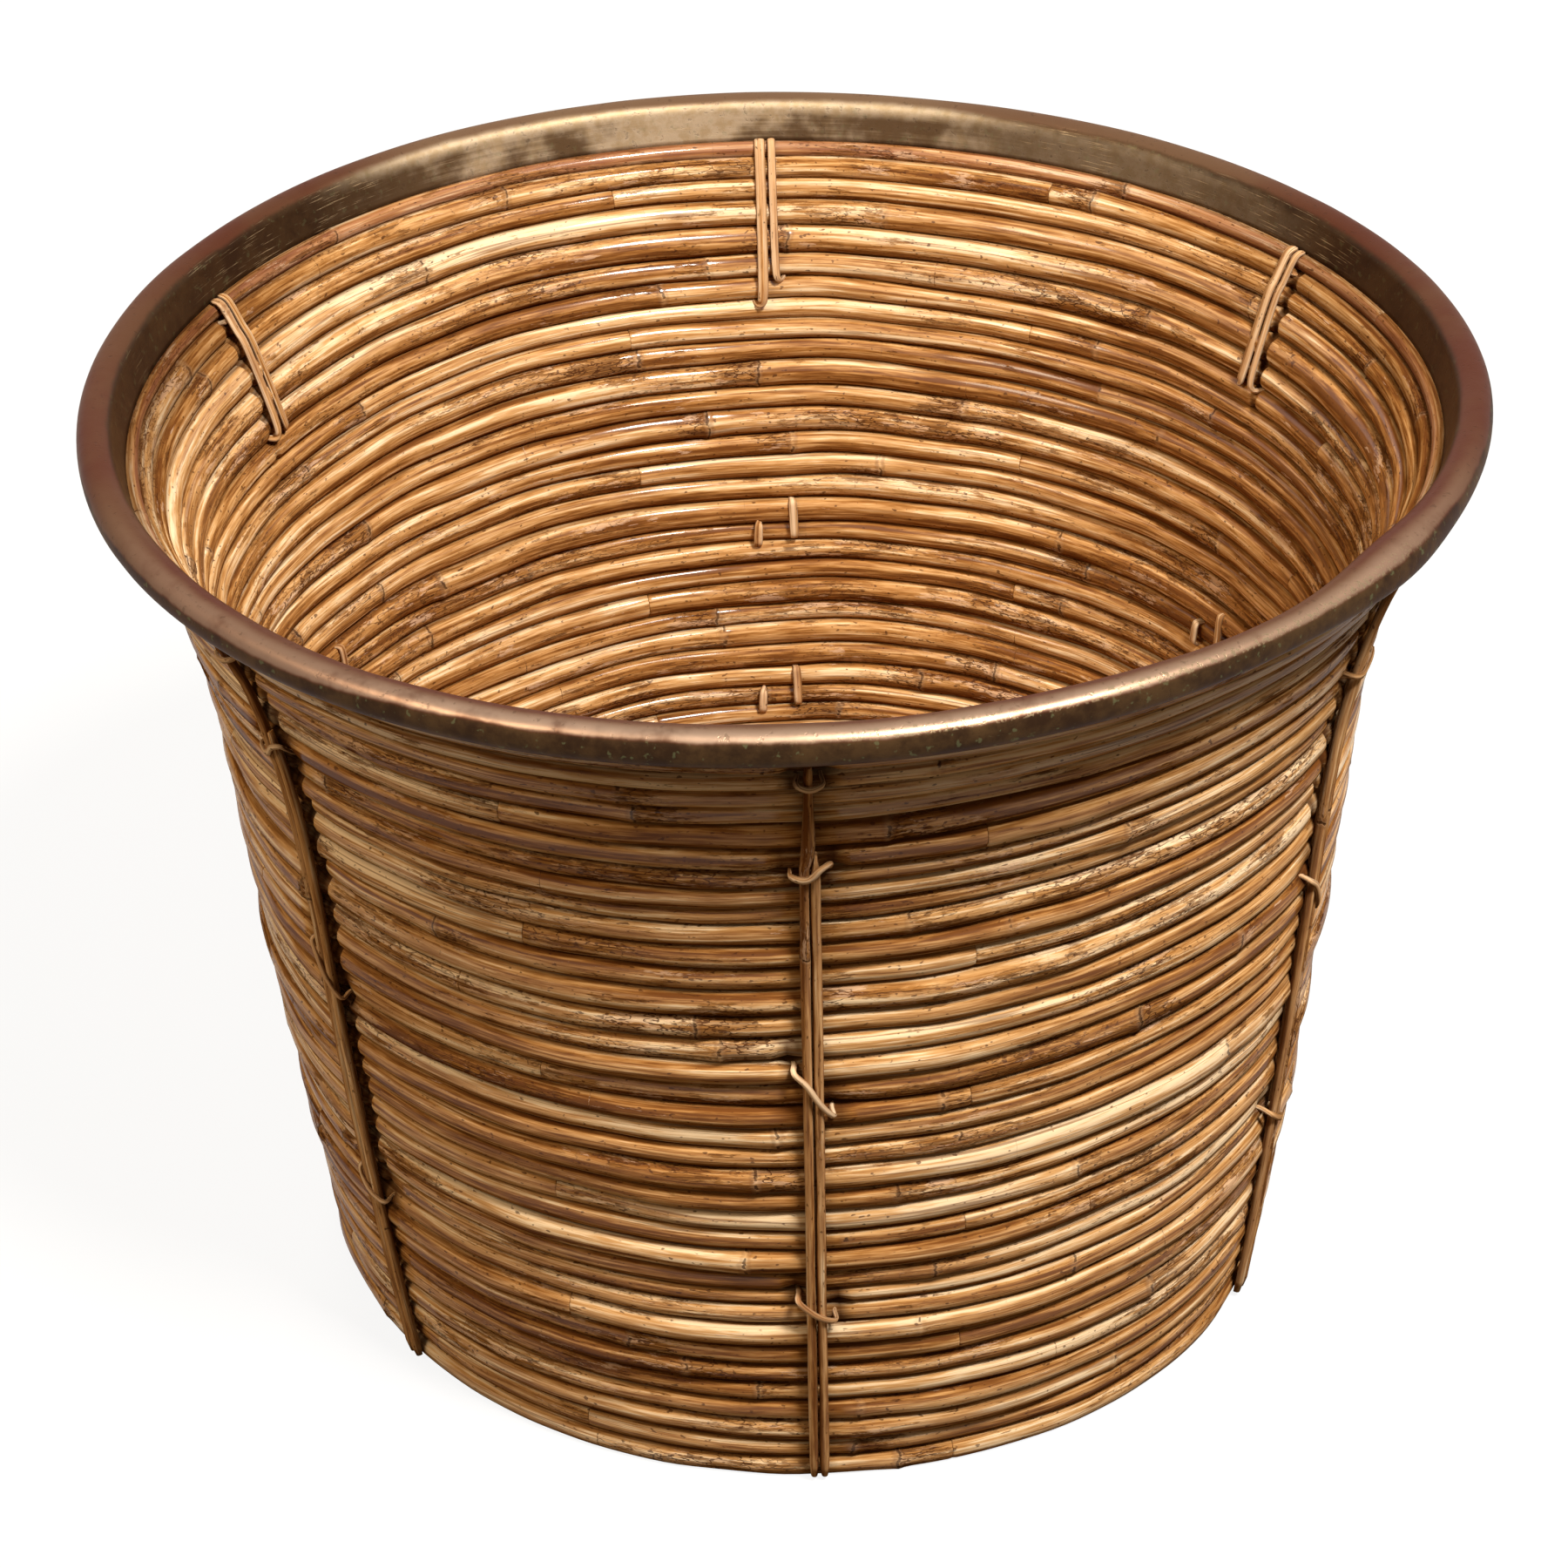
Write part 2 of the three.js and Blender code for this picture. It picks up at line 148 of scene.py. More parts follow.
# The foot bulges to the front right
FOOT_BULGE = 3.2 * MM
FOOT_BULGE_TURN = radians(-52)
FOOT_BULGE_WIDTH = 0.55
FOOT_BULGE_HEIGHT = 70 * MM

# Canes are squeezed beside these pairs of stakes: the side, the face it shows on and its lowest cane
SQUEEZES = {1: (-1, 1, 22), 2: (-1, -1, 28), 4: (1, -1, 28), 5: (1, 1, 8)}
SQUEEZE_PLACE = 3.9 * MM
SQUEEZE_REACH = 2.2 * MM
SQUEEZE_DEPTH = 2.3 * MM
SQUEEZE_EDGE = 1.3 * MM
SQUEEZE_FADE = 4

# How finely the pieces are built
CANE_SIDES = 12
CANE_STEP = 4.5 * MM
TIE_STEP = 0.7 * MM
STAKE_STEPS = 60
SEAM_SAMPLES = 240
SKIRT_STEPS = 6
BEAD_STEPS = 30
RIM_STEPS = 288

# Each tube starts as a thin ring of radius 1, turned this far
SPIN_TURN = 3.0
SPIN_RADIUS = 0.1

# Rings of a tube at its ends, at its nodes and beside a squeeze, in millimetres from them
END_RINGS = (0, 0.4, 1.2)
NODE_RINGS = (-9, -4, -2, -0.9, 0, 0.7, 1.8, 4)
SQUEEZE_RINGS = (-3, -2.4, -1.9, -1.4, -0.7, 0, 0.7, 1.4, 1.9, 2.4, 3)
LEAST_RING_GAP = 0.5 * MM
LEAST_STEP_SHARE = 0.45

# Nodes: the share by which the thickest swells its cane, how far to each side, and the ridge on it
NODE_SWELL = 0.11
LEAST_NODE_SWELL = 0.02
SWELL_BEFORE = 5 * MM
SWELL_AFTER = 2.4 * MM
RIDGE_SHARE = 0.5
RIDGE_REACH = 0.8 * MM
# Distance given where a cane has no node
FAR_FROM_NODE = 1.0

# Painted shade where two canes meet, broader on their lower side: how much, and the power that keeps it
# near the seam
OUTSIDE_SEAM_SHADE = (0.7, 4.6)
INSIDE_SEAM_SHADE = (0.9, 3.8)
UPPER_SHADE_POWER = 5.5
# Painted shade beside the stakes, where the ties go through and where a cane is squeezed
STAKE_SHADE = 0.6
DENT_SHADE = 1.1
NOTCH_SHADE = 1.5
UNSHADED_NOTCH = 0.4 * MM
# Inside near the mouth: painted shade at both sides from this cane up, and canes darker at the right as
# painted shade
MOUTH_SIDE_SHADE = 0.5
MOUTH_SIDE_SHADE_CANE = 32
SIDE_SHADE = 0.28
# Painted light: canes from which the wall is paler towards the mouth, and by how much
OUTSIDE_PAINTED_LIGHT = (30, 0.22)
INSIDE_PAINTED_LIGHT = (28, 0.06)


def lerp(a, b, t):
    return a + (b - a) * t


def clamp(value, low=0.0, high=1.0):
    return max(low, min(high, value))


def polar(angle, out, height=0.0):
    """A point round the basket's axis."""
    return Vector((out * cos(angle), out * sin(angle), height))


def ease(value):
    value = clamp(value)
    return value * value * (3 - 2 * value)


def hump(value):
    return math.exp(-value * value)


def turned(angle):
    """Angle round the basket once the stakes, and the hoops with them, have their turns."""
    step = 2 * pi / len(STAKE_TURNS)
    place = (angle - FRONT) / step
    pair = math.floor(place)
    here, after = (STAKE_TURNS[(pair + k) % len(STAKE_TURNS)] for k in (0, 1))
    return angle + radians(lerp(here, after, place - pair))


def stake_angle(pair):
    return turned(FRONT + pair * 2 * pi / len(STAKE_TURNS))


def joint_angle(cane):
    """Angle of a hoop's butt joint, staggered round the wall and never behind a stake."""
    between = HOOP_STEPS // len(STAKE_TURNS)
    gap = (cane * JOINT_STAGGER["stakes"]) % len(STAKE_TURNS)
    step = between * gap + 1 + (cane * JOINT_STAGGER["steps"]) % (between - 1)
    return turned(FRONT + step * 2 * pi / HOOP_STEPS)


def seam_below(canes):
    return WALL_CANES - canes - 0.5


def angle_between(a, b):
    return (a - b + pi) % (2 * pi) - pi


def length_property(name, description, default):
    return bpy.props.FloatProperty(name=name, description=description, default=default, unit="LENGTH")


def share_property(name, description, default):
    return bpy.props.FloatProperty(name=name, description=description, default=default, subtype="FACTOR")


class BasketSizes(bpy.types.PropertyGroup):
    """Sizes of the basket's canes, ties and brass."""

    cane_diameter: length_property("Cane Diameter", "Thickness of the wall canes", 7.6 * MM)
    top_cane_diameter: length_property(
        "Top Cane Diameter", "Thickness of the canes under the brass", 6.2 * MM)
    cane_gap: length_property("Cane Gap", "Room between two wall canes", 0.4 * MM)
    base_radius: length_property("Base Radius", "Outer radius of the lowest cane", 151.5 * MM)
    thickness_spread: share_property("Thickness Spread", "How much one cane is thicker than another", 0.2)
    waviness: share_property("Waviness", "How much a cane's thickness changes along it", 0.16)
    wander: length_property("Wander", "How far a cane strays in and out of the wall", 0.9 * MM)
    stake_width: length_property("Stake Width", "Width of one split-cane stake", 2.8 * MM)
    stake_thickness: length_property("Stake Thickness", "Thickness of one split-cane stake", 2.2 * MM)
    tie_width: length_property("Tie Width", "Width of the split cane of the ties", 1.8 * MM)
    tie_thickness: length_property("Tie Thickness", "Thickness of the split cane of the ties", 1.1 * MM)
    strip_width: length_property("Strip Width", "Width of the strips inside the mouth", 3.7 * MM)
    brass_thickness: length_property("Brass Thickness", "Thickness of the brass sheet", 0.8 * MM)
    floor_cane_diameter: length_property(
        "Floor Cane Diameter", "Thickness of the cane coiled as the floor", 10 * MM)
    seed: bpy.props.IntProperty(
        name="Seed", description="Picks one set of nodes, bends and tones", default=4, min=0)


def colour_property(name, description, default):
    return bpy.props.FloatVectorProperty(
        name=name, description=description, default=default, subtype="COLOR", size=3, min=0.0, max=1.0)


class BasketColours(bpy.types.PropertyGroup):
    """Colours of the basket's canes and brass."""

    pale: colour_property("Pale Cane", "Palest varnished cane", (0.87, 0.64, 0.39))
    gold: colour_property("Golden Cane", "Common colour of the varnished cane", (0.62, 0.337, 0.13))
    honey: colour_property("Honey Cane", "Browner cane", (0.37, 0.158, 0.04))
    brown: colour_property("Brown Cane", "Darkest cane", (0.17, 0.058, 0.014))
    skin: colour_property("Skin", "Patches of skin left on the cane", (0.075, 0.025, 0.01))
    scar: colour_property("Scar", "Dark lines at the nodes", (0.04, 0.012, 0.005))
    ash: colour_property("Ash", "Scuffed skin", (0.68, 0.44, 0.28))
    blush: colour_property("Blush", "Reddish skin of the cane under the brass", (0.3, 0.12, 0.075))
    # Painted shade: the colour of the seams, the canes' lower sides and the hollows
    painted_shade_colour: colour_property("Crevice", "Dirt and shade between the canes", (0.055, 0.017, 0.005))
    # Rubbed brass; inside at the back these also paint a highlight
    pale_brass: colour_property("Pale Brass", "Palest rubbed brass", (0.5, 0.38, 0.25))
    brass: colour_property("Brass", "Rubbed brass", (0.42, 0.3, 0.17))
    # The highlight along the rim's front is painted with this colour
    painted_highlight_brass: colour_property(
        "Painted Highlight Brass", "Painted highlight on the front of the rim", (0.46, 0.31, 0.21))
    brown_brass: colour_property("Brown Brass", "Brass under thin patina", (0.105, 0.045, 0.022))
    olive: colour_property("Olive Brass", "Dulled brass", (0.07, 0.038, 0.015))
    copper: colour_property("Copper Brown", "Brown patina on the brass", (0.085, 0.025, 0.012))
    tarnish: colour_property("Tarnish", "Darkest patina on the brass", (0.025, 0.013, 0.006))
    edge_tint: colour_property("Edge Tint", "Colour of the brass at a grazing angle", (0.5, 0.36, 0.27))
    verdigris: colour_property("Verdigris", "Greenish specks on the brass", (0.14, 0.15, 0.07))
    floor: colour_property("Floor", "The plain floor", (0.93, 0.93, 0.93))


# Materials


class Wire:
    """A socket of a material's nodes. Sums on it add Math nodes."""

    def __init__(self, tree, socket):
        self.tree = tree
        self.socket = socket

    def math(self, operation, first, second):
        node = self.tree.nodes.new("ShaderNodeMath")
        node.operation = operation
        for socket, value in zip(node.inputs, (first, second)):
            plug(self.tree, socket, value)
        return Wire(self.tree, node.outputs[0])

    def __add__(self, other):
        return self.math("ADD", self, other)

    def __radd__(self, other):
        return self.math("ADD", other, self)

    def __sub__(self, other):
        return self.math("SUBTRACT", self, other)

    def __rsub__(self, other):
        return self.math("SUBTRACT", other, self)

    def __mul__(self, other):
        return self.math("MULTIPLY", self, other)

    def __abs__(self):
        return self.math("ABSOLUTE", self, 0.0)


def plug(tree, socket, value):
    if isinstance(value, Wire):
        tree.links.new(value.socket, socket)
    else:
        socket.default_value = value


def paint(colour):
    return colour if isinstance(colour, Wire) else (*colour, 1.0)


class Finish:
    """The nodes of a material or a world while they are put together."""

    def __init__(self, owner):
        owner.use_nodes = True
        self.owner = owner
        self.tree = owner.node_tree
        self.tree.nodes.clear()

    def node(self, kind, settings=None, inputs=None, output=0):
        node = self.tree.nodes.new(kind)
        for key, value in (settings or {}).items():
            setattr(node, key, value)
        for key, value in (inputs or {}).items():
            plug(self.tree, node.inputs[key], value)
        return Wire(self.tree, node.outputs[output]) if node.outputs else None

    def attribute(self, name, output="Vector"):
        return self.node("ShaderNodeAttribute", {"attribute_name": name}, output=output)

    def split(self, vector):
        node = self.tree.nodes.new("ShaderNodeSeparateXYZ")
        plug(self.tree, node.inputs[0], vector)
        return [Wire(self.tree, output) for output in node.outputs]

    def noise(self, vector, scale, detail=2.0, roughness=0.5):
        stretched = self.node("ShaderNodeVectorMath", {"operation": "MULTIPLY"}, {0: vector, 1: scale})
        inputs = {"Vector": stretched, "Scale": 1.0, "Detail": detail, "Roughness": roughness}
        return self.node("ShaderNodeTexNoise", None, inputs)

    def step(self, value, low, high):
        """0 below low, 1 above high, smooth between."""
        inputs = {"Value": value, "From Min": low, "From Max": high}
        return self.node("ShaderNodeMapRange", {"interpolation_type": "SMOOTHSTEP"}, inputs)

    def mix(self, factor, first, second):
        inputs = {0: factor, 6: paint(first), 7: paint(second)}
        return self.node("ShaderNodeMix", {"data_type": "RGBA"}, inputs, output=2)

    def layered(self, colour, layers):
        """A colour under layers, each given as how much of it shows and its colour."""
        for factor, layer in layers:
            colour = self.mix(factor, colour, layer)
        return colour

    def seen(self):
        """1 for a ray from the camera, a mirror or glass, 0 for the light that falls on things."""
        path = self.tree.nodes.new("ShaderNodeLightPath")
        names = ("Is Camera Ray", "Is Glossy Ray", "Is Transmission Ray")
        direct, mirrored, passed = (Wire(self.tree, path.outputs[name]) for name in names)
        return direct + mirrored + passed

    def surface(self, inputs, bump, distance):
        """Ends a material with a surface that has these inputs and a bump of this depth."""
        relief = {"Strength": 1.0, "Distance": distance, "Height": bump}
        inputs = {**inputs, "Normal": self.node("ShaderNodeBump", None, relief)}
        shader = self.node("ShaderNodeBsdfPrincipled", None, inputs)
        self.node("ShaderNodeOutputMaterial", None, {"Surface": shader})
        return self.owner


def rattan(name, colours, shift=0.0, skin=0.0, gloss=0.36, bleached=0.0, reddish_inside=None):
    """Varnished cane. Its attributes give a place along and across the cane, and the marks on it.

    A hoop of the given radius can be reddish on its inner side."""
    finish = Finish(bpy.data.materials.new(name))
    step, mix = finish.step, finish.mix
    place = finish.attribute("cane")

    def streaks(along, across, detail=2.0, roughness=0.5):
        """Noise this fine along the cane and across it."""
        return finish.noise(place, (along, across, across), detail, roughness)

    past, tone, painted_shade = finish.split(finish.attribute("mark"))
    strength = finish.attribute("mark", "Alpha")
    # Painted shade below nothing stands for polish
    polish = step(painted_shade, -0.1, -0.7) * step(streaks(4, 30), 0.34, 0.52)
    upper = step(painted_shade, -0.02, -0.3)
    painted_shade = painted_shade.math("MAXIMUM", painted_shade, 0.0)
    broad = streaks(6, 60)
    ridge = streaks(7, 430, 2, 0.55)
    fibre = streaks(40, 2300, 3, 0.6)
    grain = streaks(60, 950, 3, 0.6)
    tone = tone + (broad - 0.5) * 0.9 + (ridge - 0.5) * 2.1 + (fibre - 0.5) * 0.6 + (grain - 0.5) * 1.5
    tone = tone + shift
    low = mix(step(tone, 0.0, 0.4), colours.brown, colours.honey)
    high = mix(step(tone, 0.6, 1.0), colours.gold, colours.pale)
    layers = []
    if bleached:
        layers.append((step(ridge, 0.25, 0.6) * bleached, colours.ash))
    if reddish_inside:
        x, y, _ = finish.split(finish.node("ShaderNodeTexCoord", output="Object"))
        limits = ((reddish_inside + reach * MM) ** 2 for reach in (1.5, -0.5))
        blush = step(x * x + y * y, *limits) * step(fibre + broad - 0.5, 0.1, 0.8)
        layers.append((blush * 0.85, colours.blush))
    # Narrow dark grooves between the ridges
    groove = step(abs(streaks(5, 520, 1) - 0.5), 0.028, 0.006)
    threads = step(streaks(26, 1300, 1), 0.61, 0.68)
    # Where the cane is worn: on one side of each node, and in places anywhere
    beside = step(past, -1.5 * MM, 1 * MM) * step(past, 22 * MM, 4 * MM) * strength
    worn = beside * 0.16 + (streaks(11, 70) - 0.5) * 0.6 + skin
    ragged = streaks(60, 380, 5, 0.72)
    patch = step(ragged + worn, 0.582, 0.652)
    scuff = step(streaks(48, 330, 5, 0.72) + worn * 0.9, 0.62, 0.67) * (1 - patch)
    cracks = step(abs(streaks(170, 620) - 0.5), 0.03, 0.012) * step(worn, 0.0, 0.14)
    specks = step(streaks(430, 950, 1) + worn * 0.25, 0.67, 0.74)
    # Nodes: a slanted broken dark line
    crooked = abs(past + (streaks(140, 330, 3, 0.6) - 0.5) * (4.2 * MM))
    line = step(crooked, 0.62 * MM, 0.2 * MM) * step(streaks(60, 420, 1) + strength * 0.16, 0.52, 0.62)
    lip = step(crooked, 1.9 * MM, 0.8 * MM)
    shade = step(abs(crooked - 1.2 * MM), 1.1 * MM, 0.2 * MM) * strength
    layers += [
        (groove * step(broad, 0.4, 0.58) * 0.65, colours.brown),
        (threads * step(broad, 0.62, 0.45) * 0.5, colours.brown),
        (patch * 0.75, mix(step(fibre, 0.4, 0.62), colours.skin, colours.honey)),
        (scuff * 0.6, colours.ash),
        (cracks * 0.85, colours.skin),
        (specks * 0.75, colours.skin),
        (lip * strength * 0.14, colours.pale),
        (shade * 0.45, colours.brown),
        (line * 0.75, colours.scar),
        # Painted shade in the seams, on the lower sides, beside the stakes and in the hollows
        (painted_shade * 0.9, colours.painted_shade_colour),
    ]
    height = ridge * 0.8 + grain * 0.35 + fibre * 0.2 - line * 0.7 - cracks * 0.4
    height = height + ragged * (patch + scuff) * 0.5
    return finish.surface({
        "Base Color": finish.layered(mix(step(tone, 0.25, 0.7), low, high), layers),
        "Roughness": gloss + (patch + scuff) * 0.22 + fibre * 0.12 + painted_shade * 0.2,
        "Specular IOR Level": 0.0,
        "Coat Weight": (1 - patch) * (1 - scuff) * (1 - painted_shade) * (upper * 0.12 + polish * 0.88),
        "Coat IOR": 1.48,
        "Coat Roughness": 0.15,
    }, height, 0.32 * MM)


def aged_brass(colours):
    """Brass sheet: brown over its top, darker underneath and inside, gold inside at the back; painted
    highlights and a painted reflection of the ground lie in its colour.
    """
    finish = Finish(bpy.data.materials.new("aged_brass"))
    step, mix = finish.step, finish.mix
    spot = finish.node("ShaderNodeTexCoord", output="Object")
    x, y, _ = finish.split(spot)
    place = finish.attribute("rim")
    _, _, turn = finish.split(place)

    def cloudy(scale, detail=2.0, roughness=0.5):
        """Noise that is as fine in every direction."""
        return finish.noise(spot, (scale, scale, scale), detail, roughness)

    cloud = cloudy(16, 4, 0.6)
    blotch = cloudy(60, 4, 0.6)
    fine = cloudy(260, 4, 0.65)
    rubbed = finish.noise(place, (22, 900, 0), 3, 0.6)
    # Where on the rim: its sides as the camera sees them, then round its section
    left = step(x, -0.08, -0.14)
    right = step(x, 0.07, 0.12)
    far_right = step(x, 0.05, 0.1)
    front = step(y, -0.05, -0.13)
    behind = step(y, 0.08, 0.15) * step(x, -0.15, -0.1) * (1 - step(x, 0.04, 0.09) * 0.5)
    edge = turn + (blotch - 0.5) * 0.5
    # Darker underneath: partly tarnish, partly a painted reflection of the dark ground, lower on the left
    under = step(edge + left * 0.35, 0.72, 0.5)
    inner = step(edge, 2.2, 2.55)
    skirt = step(turn + (blotch - 0.5) * 0.8, 2.75, 3.3)
    # Gold inside at the back: partly rubbed brass, partly a painted highlight
    gold = behind * step(edge + (cloud - 0.5) * 0.5 - far_right * 0.45, 1.95, 2.6)
    # Painted highlight along the front, weaker at the left and right
    painted_front_highlight = front * step(edge + left * 0.35, 0.58, 0.8) * step(edge, 1.9, 1.1)
    painted_front_highlight = painted_front_highlight * (1 - left * 0.5) * (1 - right * 0.35)
    # Yellow scratches; specks on the front, smoother and more metallic, with painted glints; pits and
    # greenish spots
    scratch = step(finish.noise(place, (60, 2600, 0), 3, 0.6), 0.6, 0.66)
    scratch = scratch * step(cloudy(28), 0.5, 0.62) * step(y, 0.0, 0.06)
    sparkle = step(cloudy(900), 0.52, 0.6) * step(y, -0.1, -0.15) * step(x, -0.02, 0.02)
    sparkle = sparkle * step(turn, 0.55, 0.7) * step(turn, 1.25, 1.0)
    pits = step(cloudy(520, 3, 0.6), 0.6, 0.7)
    greenish = step(cloudy(420), 0.62, 0.7) * (under + inner * 0.4)
    olive_patch = skirt * step(cloud + (blotch - 0.5) * 0.5 + (rubbed - 0.5) * 0.2, 0.34, 0.56)
    dull = mix(step(blotch * 0.6 + fine * 0.4, 0.38, 0.62), colours.tarnish, colours.olive)
    golden = finish.layered(mix(step(fine, 0.35, 0.6), colours.brass, colours.pale_brass), [
        (olive_patch * (0.92 - far_right * 0.5), colours.olive),
        (step(turn, 2.3, 3.2) * 0.22, colours.brown_brass),
    ])
    colour = finish.layered(mix(step(cloud, 0.35, 0.65), colours.copper, colours.brown_brass), [
        (behind * step(edge, 0.9, 1.4) * 0.25, colours.brass),
        (inner * 0.9, mix(0.5, dull, colours.tarnish)),
        (under * 0.92, dull),
        (gold, golden),
        (painted_front_highlight * step(blotch, 0.15, 0.5) * 0.72, colours.painted_highlight_brass),
        (scratch * inner * 0.7, colours.brass),
        (sparkle * 0.7, colours.brass),
        (pits * 0.3, colours.tarnish),
        (greenish * 0.45, colours.verdigris),
    ])
    return finish.surface({
        "Base Color": colour,
        "Metallic": 0.45 + gold * 0.1 + (painted_front_highlight + sparkle) * 0.4,
        "Specular Tint": paint(colours.edge_tint),
        "Roughness": 0.42 + gold * 0.16 - sparkle * 0.16 + (fine - 0.5) * 0.2 + under * 0.08,
        "Specular IOR Level": 0.2,
    }, fine * 0.35 + blotch * 0.3 - pits * 0.3 - scratch * 0.1, 0.14 * MM)


# Geometry


class Wall:
    """Centre line of the stacked canes, in a section through the basket's axis."""

    def __init__(self, sizes):
        self.sizes = sizes
        first = self.cane_radius(0)
        self.rows = [(sizes.base_radius - first, first - FOOT_FLAT, self.lean(0))]
        for cane in range(1, WALL_CANES):
            radius, height, lean = self.rows[-1]
            rise = self.cane_radius(cane - 1) + sizes.cane_gap + self.cane_radius(cane)
            tilt = (lean + self.lean(cane)) / 2
            radius += rise * sin(tilt)
            height += rise * cos(tilt)
            self.rows.append((radius, height, self.lean(cane)))

    def cane_radius(self, cane):
        top = cane >= WALL_CANES - TOP_CANES
        return (self.sizes.top_cane_diameter if top else self.sizes.cane_diameter) / 2

    def lean(self, cane):
        below = min(cane / WAIST_CANE, 1)
        above = max((cane - WAIST_CANE) / (WALL_CANES - WAIST_CANE), 0)
        to_mouth = (MOUTH_LEAN - WAIST_LEAN) * above ** FLARE_POWER
        return radians(FOOT_LEAN + (WAIST_LEAN - FOOT_LEAN) * below + to_mouth)

    def at(self, cane):
        """Radius, height and lean at a place counted in canes."""
        index = int(clamp(math.floor(cane), 0, WALL_CANES - 2))
        return tuple(lerp(a, b, cane - index) for a, b in zip(self.rows[index], self.rows[index + 1]))

    def pitch(self, cane):
        low, high = self.at(cane - 0.5), self.at(cane + 0.5)
        return math.hypot(high[0] - low[0], high[1] - low[1])

    def outward(self, pair, cane):
        """Direction out of the wall at a pair of stakes."""
        return (self.beside(pair, cane, 1, 0) - self.beside(pair, cane, 0, 0)).normalized()

    def beside(self, pair, cane, out, across):
        """Place beside a pair of stakes, out from the cane centres and across to the right from outside."""
        radius, height, lean = self.at(cane)
        angle = stake_angle(pair)
        radius += out * cos(lean)
        spot = Vector((radius, across, height - out * sin(lean)))
        spot.rotate(Matrix.Rotation(angle, 3, "Z"))
        return spot + roundness(angle, spot.z)


def roundness(angle, height):
    """How far the hand-made basket strays from a true circle here, most at its mouth."""
    share = clamp(height / MOUTH_HEIGHT) ** 2
    out = OVAL_REACH * cos(2 * angle)
    up = RIM_WAVE * sin(2 * angle) + RIM_TILT * sin(angle)
    bulge = FOOT_BULGE * hump(angle_between(angle, FOOT_BULGE_TURN) / FOOT_BULGE_WIDTH)
    out = share * out + bulge * hump(height / FOOT_BULGE_HEIGHT)
    return polar(angle, out, share * up)


class Seams:
    """Where one cane ends and the next begins, at every angle round the basket."""

    def __init__(self, sizes):
        rng = random.Random(f"seams {sizes.seed}")
        spread = [1 + sizes.thickness_spread * rng.uniform(-1, 1) for _ in range(WALL_CANES)]
        spread[-1] = TOP_CANE_SHARE
        self.rows = []
        for sample in range(SEAM_SAMPLES):
            angle = 2 * pi * sample / SEAM_SAMPLES
            across = polar(angle, 1)
            widths = []
            for cane, width in enumerate(spread):
                slow = noise.noise(across * 1.3 + Vector((0, 0, cane * 7.7)))
                quick = noise.noise(across * 4.5 + Vector((3, 1, cane * 5.3)))
                widths.append(width + sizes.waviness * (slow + 0.4 * quick))
            share = WALL_CANES / sum(widths)
            seam = -0.5
            row = [seam]
            for width in widths:
                seam += width * share
                row.append(seam)
            self.rows.append(row)

    def at(self, cane, angle):
        """Lower and upper seam of a cane, counted in canes."""
        place = (angle / (2 * pi) * SEAM_SAMPLES) % SEAM_SAMPLES
        index = int(place)
        here, after = self.rows[index], self.rows[(index + 1) % SEAM_SAMPLES]
        return [lerp(here[k], after[k], place - index) for k in (cane, cane + 1)]


def lower_ties(pair):
    return BACK_TIES if pair in BACK_PAIRS else LOWER_TIES


def strip_seam(pair, side):
    """Seam where a strip inside the mouth goes out through the wall."""
    return seam_below(STRIP_TIE + (pair == LONG_STRIP_PAIR and side > 0))


def leg_places(sizes, pair):
    """Seams where a pair's ties pass through the wall, with the place across of each."""
    upper, lower = sizes.stake_width / 2 + TOP_TIE_REACH, sizes.stake_width + TIE_REACH
    places = [(seam_below(TOP_TIE), side * upper) for side in (-1, 1)]
    places += [(strip_seam(pair, side), side * lower) for side in (-1, 1)]
    for left, right in lower_ties(pair):
        places += [(seam_below(left), -lower), (seam_below(right), lower)]
    return places


def tube(name, sides, rings, spot, marks):
    """A tube whose points lie where spot(ring, turn) says, with the marks that marks(ring, turn) gives."""
    bm = bmesh.new()
    add_tube(bm, sides, rings, spot, marks)
    return finished(bm, name)


def add_tube(bm, sides, rings, spot, marks):
    part = bmesh.new()
    bmesh.ops.create_circle(part, segments=sides, radius=SPIN_RADIUS)
    bmesh.ops.rotate(part, verts=part.verts, cent=(0, 0, 0), matrix=Matrix.Rotation(pi / 2, 3, "X"))
    bmesh.ops.translate(part, verts=part.verts, vec=(1, 0, 0))
    bmesh.ops.spin(part, geom=part.verts[:] + part.edges[:], cent=(0, 0, 0), axis=(0, 0, 1),
                   angle=SPIN_TURN, steps=rings - 1, use_merge=False)
    place_layer = part.verts.layers.float_vector.new("cane")
    mark_layer = part.verts.layers.float_color.new("mark")
    for vert in part.verts:
        ring = round(math.atan2(vert.co.y, vert.co.x) / SPIN_TURN * (rings - 1))
        turn = math.atan2(vert.co.z, math.hypot(vert.co.x, vert.co.y) - 1)
        vert[place_layer], vert[mark_layer] = marks(ring, turn)
        vert.co = spot(ring, turn)
    bmesh.ops.holes_fill(part, edges=[edge for edge in part.edges if edge.is_boundary], sides=0)
    bmesh.ops.recalc_face_normals(part, faces=part.faces)
    joined = bpy.data.meshes.new("part")
    part.to_mesh(joined)
    part.free()
    bm.from_mesh(joined)
    bpy.data.meshes.remove(joined)


def finished(bm, name):
    """Turns a bmesh into a smooth-shaded piece of the basket."""
    for face in bm.faces:
        face.smooth = len(face.verts) <= 4
    mesh = bpy.data.meshes.new(name)
    bm.to_mesh(mesh)
    bm.free()
    piece = bpy.data.objects.new(name, mesh)
    bpy.context.scene.collection.objects.link(piece)
    return piece


def fit(piece, material, slot, *nodes):
    """Gives a piece its finish, and puts it in the place of CAD nodes."""
    piece.data.materials.append(material)
    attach(piece, BODY)
    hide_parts(*nodes)


